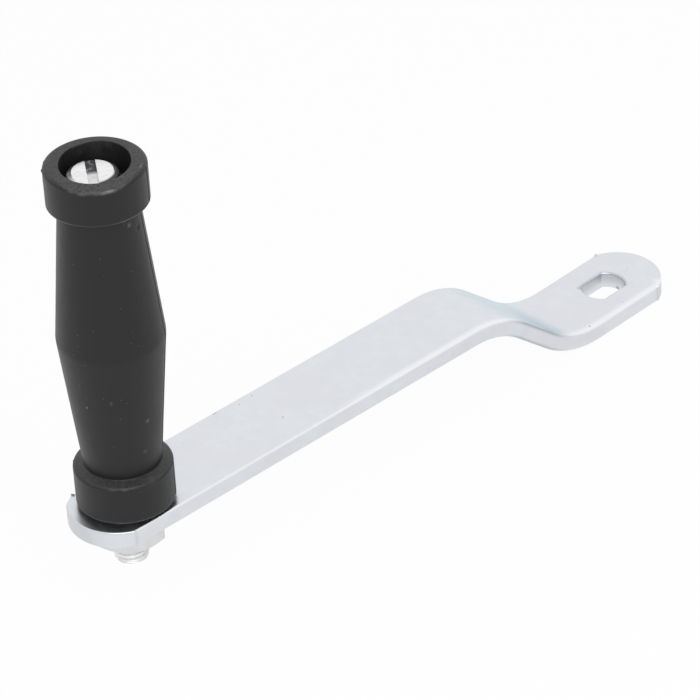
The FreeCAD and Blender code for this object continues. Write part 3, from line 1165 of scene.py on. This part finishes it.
    def hole_rim_shade(self, blank: Array) -> Array:
        """Says how much painted shade lies on the punched hole's rim, on the side away from the light.

        Args:
            blank: Rows of along, across and height over the mid plane.

        Returns:
            One share for each point.
        """
        along, across, height = blank.T
        wear_and_painted_light = self.wear_and_painted_light
        from_hole = np.maximum(np.hypot(along, across) - self.hole_diameter / 2,
                               np.abs(across) - self.hole_flats / 2)
        facing = math.radians(wear_and_painted_light.hole_azimuth)
        far_side = wear_and_painted_light.hole_side.rise(across * math.sin(facing) - along * math.cos(facing))
        return wear_and_painted_light.hole_rim_shade * wear_and_painted_light.hole_reach.rise(from_hole) * far_side * wear_and_painted_light.hole_height.rise(height)

    def surface_values(self, blank: Array) -> dict[str, Array]:
        """Says where the plate is tinted, where highlights and shade are painted on, and where it is dirty.

        The joggle reads bluish. Along the flat runs a painted highlight lies on the top face by the front
        edge. Round the joggle, painted shade makes a dark line along that edge.

        Args:
            blank: Rows of along, across and height over the mid plane.

        Returns:
            One number for each point, by the name of the value.
        """
        along, across, height = blank.T
        wear_and_painted_light = self.wear_and_painted_light
        start, end = wear_and_painted_light.tinted
        joggle = Span(start, start + wear_and_painted_light.tint_fade).rise(along)
        joggle = joggle * Span(end, end - wear_and_painted_light.tint_fade).rise(along)
        on_face = wear_and_painted_light.face_height.rise(height)
        clouds = 1 + wear_and_painted_light.tint_clouds * roughness_field(blank, wear_and_painted_light.cloud_mm, wear_and_painted_light.cloud_seed)
        from_front = across + self.width / 2
        narrow, wide = wear_and_painted_light.painted_highlight_width
        reach = narrow + (wide - narrow) * Span(self.path.spindle - wear_and_painted_light.narrow_run, end).rise(along)
        # Painted highlight along the front edge of the top face
        highlit_share = np.clip((reach - from_front) / wear_and_painted_light.painted_highlight_blur, 0, 1)
        # Painted shade along the front edge's rounding, round the joggle
        line = wear_and_painted_light.line_width.rise(from_front) * wear_and_painted_light.line_height.rise(np.abs(height))
        darkening = [wear_and_painted_light.joggle_edge_shade * line * joggle, self.end_darkening(blank), self.hole_rim_shade(blank)]
        # Painted shade at the two front corners
        for corner in self.corners()[:2]:
            away = np.hypot(along - corner[0], across - corner[1])
            darkening.append(wear_and_painted_light.corner_shade * wear_and_painted_light.corner_reach.rise(away))
        darkening += [flaw.dark * self.nearness(flaw, blank) for flaw in self.flaws]
        return {"tint": joggle * on_face * clouds, "painted_highlight": wear_and_painted_light.painted_highlight * highlit_share * on_face * (1 - joggle),
                "dirt_and_painted_shade": np.maximum.reduce(darkening)}

    def build(self, material: Finish) -> Piece:
        """Makes the bar.

        Args:
            material: Its finish.

        Returns:
            The bar's object.
        """
        loops = [self.blank_edge(), self.drive_hole_edge(), self.tapped_hole_edge()]
        vertices: list[Array] = []
        faces: list[Sequence[int]] = []
        rims: list[tuple[list[Array], list[Array]]] = []
        count = 0
        for loop in loops:
            rows = loop.rows(self.path.thickness)
            size = len(loop.points)
            faces += [[count + number for number in quad] for quad in closed_grid(len(rows), size)[:-size]]
            vertices.append(np.concatenate(rows))
            last = count + (len(rows) - 1) * size
            rims.append(([rows[0], np.arange(count, count + size)], [rows[-1], np.arange(last, last + size)]))
            count += len(rows) * size
        for side, height in enumerate((self.path.thickness / 2, -self.path.thickness / 2)):
            points, triangles = self.fill_face([rim[side][0][:, :2] for rim in rims])
            known = np.concatenate([rim[side][1] for rim in rims])
            added = points[len(known):]
            numbers = np.concatenate([known, np.arange(count, count + len(added))]).astype(int)
            faces += [[int(numbers[corner]) for corner in triangle] for triangle in triangles]
            vertices.append(np.column_stack([added, np.full(len(added), height)]))
            count += len(added)
        blank = np.concatenate(vertices)
        kept = self.surface_values(blank)
        for flaw in self.flaws:
            blank[:, 2] += flaw.rise * self.nearness(flaw, blank)
        arm = make_piece("arm_bar", self.path.bend(blank), faces, Matrix.Identity(4))
        keep_values(arm, "blank", blank)
        for name, values in kept.items():
            keep_values(arm, name, values)
        dress(arm, material)
        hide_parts("crank_arm")
        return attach(arm, "crank")


@dataclass(frozen=True)
class Mark:
    """A dent, a nub, a scuff or a painted highlight on the grip, placed by its azimuth, height and distance
    from the axis.
    """

    azimuth: float
    height: float
    radius: float
    around: float
    along: float
    rise: float = 0.0
    scuff_and_highlight: float = 0.0


@dataclass(frozen=True)
class GripWearAndPaintedLight:
    """How pale the grip's skin is drawn, and where: from dust and handling, as painted sheen where it faces
    up, and as painted highlights along the collars' lower edges.
    """

    # Dust with painted sheen: the rim's top and the lower collar's cone are drawn paler where they face up
    rim_dust_and_sheen: float = 0.13
    cone_dust_and_sheen: float = 0.115
    recess_dust: float = 0.03
    worn_dust: float = 0.1
    speckle_mm: float = 0.5
    speckle_seed: float = 11.0
    faces_up: Span = Span(0.5, 0.9)
    faces_in: Span = Span(-0.6, -0.9)
    faces_out: Span = Span(0.6, 0.9)
    from_top: Span = Span(-3.0, -1.5)
    over_collar: Span = Span(2.0, 0.5)
    from_worn_side: Span = Span(60.0, 30.0)
    from_facing: Span = Span(12.0, 40.0)
    # Painted highlight along each collar's lower edge, the upper one weaker on the side that faces the camera
    edge_highlight: float = 0.3
    edge_middle: float = 0.12
    edge_blur: float = 0.16
    low_edge_share: float = 0.7
    facing_share: float = 0.3


@dataclass
class Grip:
    """The turning grip: one black moulding with a collar at each end and its widest place half way."""

    wear_and_painted_light: GripWearAndPaintedLight = GripWearAndPaintedLight()
    bottom: float = 1.5
    length: float = 101.5
    bore_radius: float = 4.78
    bore_margin: float = 1.0
    collar_radius: float = 13.15
    collar_height: float = 10.8
    collar_slope: float = 1.1
    neck_radius: float = 10.35
    belly_radius: float = 14.15
    belly_blend: float = 10.0
    recess_radius: float = 9.0
    recess_depth: float = 8.0
    rim_radius: float = 1.2
    worn_rim_radius: float = 1.5
    worn_drop: float = 1.0
    worn_azimuth: float = -128.0
    worn_reach: float = 47.0
    worn_raggedness: float = 0.08
    rag_mm: float = 2.5
    rag_seed: float = 7.0
    shoulder_radius: float = 0.9
    lip_radius: float = 0.2
    neck_root_radius: float = 0.3
    recess_edge_radius: float = 0.25
    recess_root_radius: float = 0.8
    opening_back: float = 1.3
    opening_front: float = 0.8
    opening_flat: float = 0.5
    flat_azimuth: float = 71.0
    flat_reach: float = 16.0
    facing: float = -134.0
    divisions: tuple[int, ...] = (4, 26, 6, 70, 70, 6, 26, 10, 18, 6, 12)
    columns: int = 252
    seam_columns: Span = Span(-3.0, 3.1)
    seam_column_step: float = 0.35
    seam_column_gap: float = 0.25
    seam_azimuths: tuple[float, float] = (-52.5, 127.5)
    seam_drift: float = -0.05
    seam_height: float = 0.09
    seam_width: float = 0.2
    seam_step: float = 0.1
    grain_height: float = 0.03
    grain_mm: float = 1.6
    grain_seed: float = 3.0
    level_face: float = 0.9
    marks: tuple[Mark, ...] = (
        Mark(142, 101.9, 13.05, 0.45, 0.4, rise=0.32, scuff_and_highlight=0.3),
        Mark(150, 100.0, 13.15, 0.7, 0.8, rise=0.12, scuff_and_highlight=0.14),
        Mark(164, 100.6, 13.15, 0.5, 0.5, rise=0.15, scuff_and_highlight=0.16),
        Mark(154, 98.0, 13.15, 0.5, 0.7, rise=0.12, scuff_and_highlight=0.16),
        Mark(160, 96.4, 13.15, 0.4, 0.4, rise=-0.12, scuff_and_highlight=0.1),
        Mark(-57, 103.0, 11.9, 1.1, 0.25, rise=0.15, scuff_and_highlight=0.35),
        Mark(-128, 101.7, 13.0, 0.9, 0.3, rise=-0.03, scuff_and_highlight=0.1),
        Mark(-114, 101.9, 12.9, 1.6, 0.4, rise=0.03, scuff_and_highlight=0.55),
        Mark(-121, 101.6, 13.0, 0.8, 0.3, rise=-0.06, scuff_and_highlight=0.3),
        Mark(-110, 102.5, 11.6, 2.4, 1.2, scuff_and_highlight=0.08),
        Mark(-145, 101.7, 13.0, 1.3, 0.4, scuff_and_highlight=0.2),
        Mark(-157, 102.0, 13.0, 0.9, 0.4, rise=0.03, scuff_and_highlight=0.16),
        Mark(-115, 90.4, 10.5, 0.3, 0.3, rise=-0.15),
        Mark(-90, 89.6, 10.5, 0.6, 0.5, rise=-0.5),
        Mark(-86, 88.8, 10.6, 0.5, 0.4, rise=-0.1, scuff_and_highlight=0.35),
        Mark(-70, 86.5, 10.8, 0.5, 0.5, rise=-0.4),
        Mark(-166, 36.7, 12.7, 0.2, 0.25, rise=0.05, scuff_and_highlight=0.5),
        Mark(-135, 39.2, 12.9, 0.25, 0.25, rise=0.05, scuff_and_highlight=0.45),
        Mark(-91, 30.7, 12.1, 0.5, 0.35, rise=0.05, scuff_and_highlight=0.3),
        Mark(-96, 21.0, 11.2, 0.5, 0.3, rise=0.05, scuff_and_highlight=0.2),
        # Painted highlights on the lower collar's shoulder and cone
        Mark(-143, 12.0, 12.9, 1.1, 0.25, scuff_and_highlight=0.14),
        Mark(-129, 12.0, 12.9, 0.8, 0.25, scuff_and_highlight=0.2),
        Mark(-120, 12.1, 12.8, 0.6, 0.2, scuff_and_highlight=0.16),
        Mark(-94, 12.6, 12.0, 2.2, 1.2, scuff_and_highlight=0.1),
        Mark(33, 101.6, 9.9, 1.0, 1.2, rise=0.2),
        Mark(72, 100.2, 9.2, 0.9, 1.0, rise=0.2),
    )

    def corners(self, rim_radius: float, opening: float, drop: float) -> list[Corner]:
        """Lists the section's corners, from the bore's lower end round the outside and down the recess.

        Args:
            rim_radius: How much the top rim is rounded.
            opening: How much wider the recess is at its mouth than at its floor.
            drop: How much lower the top rim is than the recess's mouth.

        Returns:
            The corners in order.
        """
        top = self.bottom + self.length
        low, high = self.bottom + self.collar_height, top - self.collar_height
        floor = top - self.recess_depth
        return [
            Corner(self.bore_radius, self.bottom, self.lip_radius),
            Corner(self.collar_radius, self.bottom, self.lip_radius),
            Corner(self.collar_radius, low, self.shoulder_radius),
            Corner(self.neck_radius, low + self.collar_slope, self.neck_root_radius),
            Corner(self.belly_radius, self.bottom + self.length / 2, self.belly_blend),
            Corner(self.neck_radius, high, self.neck_root_radius),
            Corner(self.collar_radius, high, self.lip_radius),
            Corner(self.collar_radius, top - drop, rim_radius),
            Corner(self.recess_radius + opening, top, self.recess_edge_radius),
            Corner(self.recess_radius, floor, self.recess_root_radius),
            Corner(self.bore_radius, floor, self.lip_radius),
        ]

    def azimuths(self) -> Array:
        """Sets out the columns: even angles, with extra ones at both sides of the mould's parting line.

        Returns:
            The angles in order, in radians.
        """
        even = even_turns(self.columns, -math.pi)
        offsets = np.radians(np.arange(*self.seam_columns, self.seam_column_step))
        extra = np.concatenate([wrapped(math.radians(seam) + offsets) for seam in self.seam_azimuths])
        clear = np.min(np.abs(even[:, None] - extra[None]), axis=1) > math.radians(self.seam_column_gap)
        return np.sort(np.concatenate([even[clear], extra]))

    def seam_lift(self, turns: Array, radii: Array, heights: Array) -> Array:
        """Finds how far the parting line stands proud: a low ridge, with one mould half set back a little.

        Args:
            turns: The azimuth of each vertex.
            radii: Its distance from the axis.
            heights: Its height.

        Returns:
            One height for each vertex.
        """
        lift = np.zeros(len(turns))
        middle = self.bottom + self.length / 2
        for seam in self.seam_azimuths:
            centre = np.radians(seam + self.seam_drift * (heights - middle))
            arc = wrapped(turns - centre) * radii
            lift += self.seam_height * np.exp(-((arc - 2 * self.seam_width) / self.seam_width) ** 2)
            lift -= self.seam_step * np.exp(-(arc / self.seam_width) ** 2)
        return lift

    def opening_share(self, azimuths: Array) -> Array:
        """Finds how far the recess's mouth is drawn out.

        Args:
            azimuths: The angles of the columns.

        Returns:
            For each, a share of the greatest widening.
        """
        facing = np.cos(azimuths - math.radians(self.facing))
        back = self.opening_back * np.maximum(-facing, 0) ** 2
        front = self.opening_front * np.maximum(facing, 0) ** 2
        flat = np.exp(-(np.degrees(azimuths) - self.flat_azimuth) ** 2 / self.flat_reach ** 2)
        return (back + front - self.opening_flat * flat) / self.opening_back

    def worn_share(self, azimuths: Array) -> Array:
        """Finds how far the top rim is worn down, raggedly, on the side that has had the knocks.

        Args:
            azimuths: The angles of the columns.

        Returns:
            For each, a share of the greatest wear.
        """
        away = np.abs(wrapped(np.degrees(azimuths) - self.worn_azimuth, math.degrees(TURN)))
        rim = lathe(np.array([[self.collar_radius, 0.0]]), azimuths)
        ragged = 1 + self.worn_raggedness * roughness_field(rim, self.rag_mm, self.rag_seed)
        return Span(self.worn_reach, self.worn_reach / 2).rise(away) * ragged

    def shell(self, azimuths: Array) -> tuple[Array, Array]:
        """Sets out the moulding with its worn rim and its drawn-out recess, before its small marks.

        Args:
            azimuths: The angles of its columns of vertices.

        Returns:
            One row of x, y and z for each vertex, and one row of its normal's radial and upward parts.
        """
        shapes = [(self.rim_radius, 0.0, 0.0), (self.worn_rim_radius, 0.0, self.worn_drop),
                  (self.rim_radius, self.opening_back, 0.0)]
        outlines = [rounded_outline(self.corners(*shape), self.divisions) for shape in shapes]
        fresh, worn, wide = (lathe(outline, azimuths) for outline in outlines)
        rows = len(outlines[0])
        vertices = fresh + (worn - fresh) * np.tile(self.worn_share(azimuths), rows)[:, None]
        vertices += (wide - fresh) * np.tile(self.opening_share(azimuths), rows)[:, None]
        return vertices, np.repeat(outline_normals(outlines[0]), len(azimuths), 0)

    def dust_and_highlight(self, vertices: Array, turns: Array, normals: Array) -> Array:
        """Says how pale the plastic is drawn: dust and painted sheen on faces that look up, wear on the worn
        rim, and painted highlights along the collars' lower edges.

        Args:
            vertices: One row of x, y and z for each vertex.
            turns: Its azimuth.
            normals: Its normal's radial and upward parts.

        Returns:
            One share for each vertex.
        """
        wear_and_painted_light, heights = self.wear_and_painted_light, vertices[:, 2]
        top, high = self.bottom + self.length, self.bottom + self.length - self.collar_height
        low = self.bottom + self.collar_height + self.collar_slope
        looks_up = wear_and_painted_light.faces_up.rise(normals[:, 1])
        on_rim = looks_up * wear_and_painted_light.from_top.rise(heights - top)
        on_cone = looks_up * wear_and_painted_light.over_collar.rise(heights - low)
        in_recess = wear_and_painted_light.faces_in.rise(normals[:, 0]) * (heights > high)
        worn = wear_and_painted_light.from_worn_side.rise(np.abs(np.degrees(turns) - self.worn_azimuth))
        # Dust, with painted sheen on the faces that look up
        dust_and_highlight = (wear_and_painted_light.rim_dust_and_sheen + wear_and_painted_light.worn_dust * worn) * on_rim + wear_and_painted_light.cone_dust_and_sheen * on_cone
        dust_and_highlight = (dust_and_highlight + wear_and_painted_light.recess_dust * in_recess) * speckles(vertices, wear_and_painted_light.speckle_mm, wear_and_painted_light.speckle_seed)
        # Painted highlight: a thin pale line along each collar's lower edge, where its rounded lip would catch
        # light from below
        off_facing = wear_and_painted_light.from_facing.rise(np.abs(np.degrees(turns) - self.facing))
        high_share = wear_and_painted_light.facing_share + (1 - wear_and_painted_light.facing_share) * off_facing
        for edge, share in ((self.bottom, wear_and_painted_light.low_edge_share), (high, high_share)):
            line = np.exp(-(((heights - edge - wear_and_painted_light.edge_middle) / wear_and_painted_light.edge_blur) ** 2))
            dust_and_highlight = np.maximum(dust_and_highlight, wear_and_painted_light.edge_highlight * share * line * wear_and_painted_light.faces_out.rise(normals[:, 0]))
        return dust_and_highlight

    def build(self, spindle: Spindle, material: Finish) -> Piece:
        """Makes the grip.

        Args:
            spindle: The frame it turns in.
            material: Its finish.

        Returns:
            The grip's object.
        """
        azimuths = self.azimuths()
        vertices, normals = self.shell(azimuths)
        rows = len(vertices) // len(azimuths)
        radii, heights = np.hypot(vertices[:, 0], vertices[:, 1]), vertices[:, 2]
        turns = np.tile(azimuths, rows)
        is_outside = Span(self.bore_radius + self.bore_margin, self.recess_radius).rise(radii)
        lift = self.seam_lift(turns, radii, heights) * (self.wear_and_painted_light.faces_out.rise(normals[:, 0]) * is_outside)
        lift -= self.grain_height * speckles(vertices, self.grain_mm, self.grain_seed) * is_outside
        scuff_and_highlight = self.dust_and_highlight(vertices, turns, normals) * is_outside
        for mark in self.marks:
            arc = wrapped(turns - math.radians(mark.azimuth)) * radii
            along = np.hypot(radii - mark.radius, heights - mark.height)
            near = np.exp(-(arc / mark.around) ** 2 - (along / mark.along) ** 2)
            lift += mark.rise * near
            scuff_and_highlight = np.maximum(scuff_and_highlight, mark.scuff_and_highlight * near)
        vertices[:, 0] += lift * normals[:, 0] * np.cos(turns)
        vertices[:, 1] += lift * normals[:, 0] * np.sin(turns)
        vertices[:, 2] += lift * normals[:, 1] * (normals[:, 1] < self.level_face)
        vertices[:, 2] = np.minimum(vertices[:, 2], self.bottom + self.length)
        grip = make_piece("grip_moulding", vertices, closed_grid(rows, len(azimuths)), spindle.frame)
        keep_values(grip, "scuff_and_highlight", scuff_and_highlight)
        dress(grip, material)
        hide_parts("grip")
        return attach(grip, "grip")


@dataclass
class SpindleScrew:
    """The long slotted screw that the grip turns on: domed head, plain shank, rolled thread below the bar.

    Its head was upset a little off the shank's axis, with the slot near the head's middle.
    """

    radius: float = 4.7
    axis_gap: float = 0.02
    head_radius: float = 6.7
    head_shift: float = 0.75
    head_shift_azimuth: float = 138.0
    seat: float = 95.1
    seat_edge: float = 0.2
    seat_overlap: float = 1.0
    head_height: float = 5.7
    crown_radius: float = 60.0
    disc_radius: float = 5.3
    disc_edge: float = 0.15
    shoulder_drop: float = 0.9
    shoulder_edge: float = 0.8
    head_divisions: tuple[int, ...] = (6, 6, 4, 8, 4)
    slot_width: float = 2.7
    slot_depth: float = 2.6
    slot_turn: float = 55.0
    slot_offset: float = 0.9
    slot_tilt: float = 6.0
    slot_edge: float = 0.1
    cutter_reach: float = 2.0
    tip: float = -18.3
    point: float = 0.5
    point_slope: float = 0.4
    point_rise: float = 0.12
    thread_start: float = 0.2
    thread_top: float = -5.0
    pitch: float = 1.5
    thread_depth: float = 0.85
    groove_mouth: float = 0.86
    groove_flank: float = 0.62
    thread_row_step: float = 0.12
    columns: int = 96

    def thread_cut(self, heights: Array, azimuths: Array) -> Array:
        """Cuts the thread's groove: flat crests, sloped flanks and a rounded root, along a helix.

        Args:
            heights: The height of each vertex.
            azimuths: Its azimuth.

        Returns:
            The groove's depth there.
        """
        turn = (heights / self.pitch - azimuths / TURN) % 1.0
        flank = np.abs(turn - 0.5) * 2
        groove = np.clip((self.groove_mouth - flank) / self.groove_flank, 0, 1)
        return self.thread_depth * groove * Span(self.thread_top + self.pitch, self.thread_top).rise(heights)

    def shank(self, frame: Matrix) -> Piece:
        """Makes the shank with its thread and its pointed tip, closed at both ends.

        Args:
            frame: The spindle's frame.

        Returns:
            The shank's object.
        """
        end, tip_radius = self.seat + self.seat_overlap, self.radius - self.point
        thread_end = self.thread_top + 2 * self.pitch
        low = [[self.axis_gap, self.tip], [tip_radius - self.point_slope, self.tip],
               [tip_radius, self.tip + self.point_rise]]
        rows = np.arange(self.tip + self.thread_start, thread_end, self.thread_row_step)
        taper = np.minimum(self.radius, tip_radius + (rows - self.tip))
        high = [[self.radius, self.seat / 2], [self.radius, end], [self.axis_gap, end]]
        outline = np.concatenate([low, np.column_stack([taper, rows]), high])
        azimuths = even_turns(self.columns)
        vertices = lathe(outline, azimuths)
        radii, heights = np.repeat(outline, len(azimuths), 0).T
        full = self.radius - self.thread_cut(heights, np.tile(azimuths, len(outline)))
        in_thread = (heights > self.tip + self.point_rise) & (heights < thread_end)
        fitted = np.where(in_thread, np.minimum(radii, full), radii)
        vertices[:, :2] *= (fitted / radii)[:, None]
        return make_piece("spindle_shank", vertices, closed_grid(len(outline), len(azimuths)), frame)

    def head(self, frame: Matrix) -> Piece:
        """Makes the domed head before its slot is cut.

        Args:
            frame: The spindle's frame.

        Returns:
            The head's object.
        """
        top = self.seat + self.head_height
        rim = top - (self.crown_radius - math.sqrt(self.crown_radius ** 2 - self.disc_radius ** 2))
        corners = [Corner(self.axis_gap, self.seat), Corner(self.head_radius, self.seat, self.seat_edge),
                   Corner(self.head_radius, rim - self.shoulder_drop, self.shoulder_edge),
                   Corner(self.disc_radius, rim, self.disc_edge), Corner(self.axis_gap, top)]
        outline = rounded_outline(corners, self.head_divisions)
        azimuths = even_turns(self.columns)
        turn = math.radians(self.head_shift_azimuth)
        aside = Vector((math.cos(turn), math.sin(turn), 0)) * self.head_shift * MM
        return make_piece("spindle_head", lathe(outline, azimuths), closed_grid(len(outline), len(azimuths)),
                          frame @ Matrix.Translation(aside))

    def slot_cutter(self, frame: Matrix) -> Piece:
        """Makes the block that cuts the screwdriver slot, which gets shallower towards the far side.

        Args:
            frame: The spindle's frame.

        Returns:
            The block's object.
        """
        reach, top = 2 * self.head_radius, self.seat + self.head_height
        turn = Matrix.Rotation(math.radians(self.slot_turn), 3, "Z")
        low, high = self.slot_offset - self.slot_width / 2, self.slot_offset + self.slot_width / 2
        rise = math.tan(math.radians(self.slot_tilt))
        sides = ((-reach, low), (reach, low), (reach, high), (-reach, high))
        corners = [Vector((x, y, top - self.slot_depth + (x + self.head_radius) * rise)) for x, y in sides]
        corners += [Vector((x, y, top + self.cutter_reach)) for x, y in sides]
        faces = [(3, 2, 1, 0), (4, 5, 6, 7), (0, 1, 5, 4), (1, 2, 6, 5), (2, 3, 7, 6), (3, 0, 4, 7)]
        return make_piece("slot_cutter", np.array([list(turn @ corner) for corner in corners]), faces, frame)

    def build(self, spindle: Spindle, material: Finish) -> Piece:
        """Makes the screw.

        Args:
            spindle: The frame it stands in.
            material: Its finish.

        Returns:
            The screw's object.
        """
        head = self.head(spindle.frame)
        combine(head, self.slot_cutter(spindle.frame), "DIFFERENCE")
        soften(head, self.slot_edge)
        combine(head, self.shank(spindle.frame), "UNION")
        head.name = "spindle_screw_threaded"
        dress(head, material)
        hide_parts("spindle_screw")
        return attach(head, "crank")


@dataclass
class LockNut:
    """The thin hexagon nut below the bar, chamfered on both faces."""

    top: float = -5.0
    height: float = 6.7
    across_flats: float = 17.5
    chamfer_deg: float = 30.0
    chamfer_radius: float = 8.2
    turn: float = -64.0
    bore_radius: float = 4.75
    bore_chamfer: float = 0.6
    edge_blend: float = 0.07
    columns: int = 240
    side_rows: int = 30
    face_rows: int = 5

    def outer_radius(self, azimuths: Array, height: float) -> Array:
        """Finds the nut's reach at one height: the hexagon, cut back near each face by its chamfer.

        Args:
            azimuths: The angles of its columns.
            height: The height.

        Returns:
            One radius for each column.
        """
        flat = self.across_flats / 2
        turns = azimuths - math.radians(self.turn)
        nearest = np.abs(turns % SIXTH_TURN - SIXTH_TURN / 2)
        limits = [flat / np.cos(nearest), flat / np.cos(SIXTH_TURN - nearest)]
        depth = min(self.top - height, height - (self.top - self.height))
        cone = self.chamfer_radius + depth / math.tan(math.radians(self.chamfer_deg))
        return smooth_minimum([*limits, np.full(len(azimuths), cone)], self.edge_blend)

    def build(self, spindle: Spindle, material: Finish) -> Piece:
        """Makes the nut.

        Args:
            spindle: The frame it stands in.
            material: Its finish.

        Returns:
            The nut's object.
        """
        azimuths = even_turns(self.columns)
        bottom, mouth = self.top - self.height, self.bore_radius + self.bore_chamfer
        rows: list[tuple[Array, float]] = []
        for step in range(self.face_rows):
            share = step / self.face_rows
            rows.append((mouth + (self.outer_radius(azimuths, bottom) - mouth) * share, bottom))
        for step in range(self.side_rows + 1):
            height = bottom + self.height * (0.5 - 0.5 * math.cos(math.pi * step / self.side_rows))
            rows.append((self.outer_radius(azimuths, height), height))
        for step in range(1, self.face_rows + 1):
            share = 1 - step / self.face_rows
            rows.append((mouth + (self.outer_radius(azimuths, self.top) - mouth) * share, self.top))
        bore = np.full(len(azimuths), self.bore_radius)
        rows += [(bore, self.top - self.bore_chamfer), (bore, bottom + self.bore_chamfer)]
        rings = [np.column_stack([reach * np.cos(azimuths), reach * np.sin(azimuths),
                                  np.full(len(azimuths), height)]) for reach, height in rows]
        faces = closed_grid(len(rows), len(azimuths))
        nut = make_piece("lock_nut_chamfered", np.concatenate(rings), faces, spindle.frame)
        dress(nut, material)
        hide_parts("lock_nut")
        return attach(nut, "crank")


@dataclass
class Studio:
    """The photograph's camera, a pale floor, and soft light from a white room."""

    focal_px: float = 3960.456
    pitch_deg: float = 34.152
    yaw_deg: float = 41.875
    roll_deg: float = 3.157
    camera_place: tuple[float, float, float] = (-513.14, -662.86, 610.09)
    clip_m: tuple[float, float] = (0.05, 20.0)
    floor_half_mm: float = 3000.0
    floor_colour: str = "#fafafa"
    floor_shadow_share: float = 0.05
    world_light: float = 0.6
    softbox_place: tuple[float, float, float] = (-0.4, -0.48, 0.64)
    softbox_side: float = 0.75
    softbox_power: float = 3.6

    def camera(self, spindle: Spindle) -> None:
        """Puts the camera where the photograph's was, which was worked out in the spindle's frame.

        Args:
            spindle: That frame.
        """
        pitch, yaw, roll = (math.radians(angle) for angle in (self.pitch_deg, self.yaw_deg, self.roll_deg))
        forward = Vector((math.cos(pitch) * math.sin(yaw), math.cos(pitch) * math.cos(yaw), -math.sin(pitch)))
        level = Vector((math.cos(yaw), -math.sin(yaw), 0.0))
        down = forward.cross(level)
        right = level * math.cos(roll) + down * math.sin(roll)
        down = down * math.cos(roll) - level * math.sin(roll)
        axes = Matrix((right, -down, -forward)).transposed().to_4x4()
        camera = bpy.data.objects.new("camera", bpy.data.cameras.new("camera"))
        camera.data.sensor_width = SENSOR_MM
        camera.data.lens = SENSOR_MM * self.focal_px / PHOTO_SIDE_PX
        camera.data.clip_start, camera.data.clip_end = self.clip_m
        bpy.context.scene.collection.objects.link(camera)
        camera.matrix_world = spindle.frame @ Matrix.Translation(Vector(self.camera_place) * MM) @ axes
        bpy.context.scene.camera = camera

    def background_share(self, tree: Tree) -> Source:
        """Tells what the camera, a mirror or a glass looks at directly from light on its way.

        Args:
            tree: The node tree of the world or the floor.

        Returns:
            What gives 1 for what is looked at and 0 for light.
        """
        rays = add_node(tree, "LightPath").outputs
        share: Source = rays["Is Camera Ray"]
        for kind in ("Is Glossy Ray", "Is Transmission Ray"):
            share = add_node(tree, "Math", {"operation": "MAXIMUM"}, {0: share, 1: rays[kind]})
        return share

    def world(self) -> None:
        """Lights the object from a white room, and shows that room as plain white."""
        world = bpy.data.worlds.new("white_room")
        world.use_nodes = True
        world.node_tree.nodes.clear()
        tree = world.node_tree
        light = add_node(tree, "Background", {"Color": WHITE, "Strength": self.world_light})
        shown = add_node(tree, "Background", {"Color": WHITE})
        share = self.background_share(tree)
        mixed = add_node(tree, "MixShader", None, {0: share, 1: light, 2: shown})
        add_node(tree, "OutputWorld", links={"Surface": mixed})
        bpy.context.scene.world = world

    def floor(self, height: float) -> None:
        """Lays a pale floor that keeps a share of the object's shadow.

        Args:
            height: The floor's height, in metres.
        """
        half, level = self.floor_half_mm, height / MM
        corners = [(x, y, level) for x, y in ((-half, -half), (half, -half), (half, half), (-half, half))]
        floor = make_piece("floor", np.array(corners), [(0, 1, 2, 3)], Matrix.Identity(4))
        material, tree = new_surface("pale_floor")
        paint = add_node(tree, "BsdfDiffuse", {"Color": linear(self.floor_colour)})
        glow = add_node(tree, "Emission", {"Color": WHITE})
        settings = {"operation": "MULTIPLY", 1: 1 - self.floor_shadow_share}
        share = add_node(tree, "Math", settings, {0: self.background_share(tree)})
        mixed = add_node(tree, "MixShader", None, {0: share, 1: paint, 2: glow})
        add_node(tree, "OutputMaterial", links={"Surface": mixed})
        dress(floor, material)
        floor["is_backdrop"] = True

    def softbox(self, target: Vector) -> None:
        """Hangs a soft square lamp that faces the object.

        Args:
            target: The point that it faces.
        """
        light = bpy.data.lights.new("front_softbox", "AREA")
        light.size = self.softbox_side
        light.energy = self.softbox_power
        lamp = bpy.data.objects.new("front_softbox", light)
        bpy.context.scene.collection.objects.link(lamp)
        lamp.location = target + Vector(self.softbox_place)
        lamp.rotation_euler = (-Vector(self.softbox_place)).to_track_quat("-Z", "Y").to_euler()

    def set_up(self, spindle: Spindle, low: Vector, high: Vector) -> None:
        """Sets up the whole studio round the object.

        Args:
            spindle: The frame that the camera's place is given in.
            low: The lowest corner of the object's box.
            high: Its highest corner.
        """
        self.camera(spindle)
        self.world()
        self.floor(low.z)
        self.softbox((low + high) / 2)
        bpy.context.scene.view_settings.view_transform = "Standard"


def main() -> None:
    """Builds and dresses each sub-assembly in order, then sets up the studio."""
    logging.basicConfig(level=logging.INFO, format="%(name)s: %(message)s")
    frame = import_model()
    cad_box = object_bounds()
    spindle = Spindle(frame["joints"][0])
    small_zinc = ZincPlate(name="zinc_plated_hardware", coordinates=Coordinates.OBJECT, colour="#dededf",
                           dull_colour="#d2d2d4", violet="#dcdce0").build()
    pieces = {
        "bar": CrankArm().build(ZincPlate().build()),
        "grip": Grip().build(spindle, MouldedPlastic().build()),
        "screw": SpindleScrew().build(spindle, TurnedSteel().build()),
        "nut": LockNut().build(spindle, small_zinc),
    }
    for label, piece in pieces.items():
        LOG.info("%s: %s with %d faces", label, piece.name, len(piece.data.polygons))
    dress(frame["nodes"]["thrust_washer"], small_zinc)
    Studio().set_up(spindle, *cad_box)


if __name__ == "__main__":
    main()
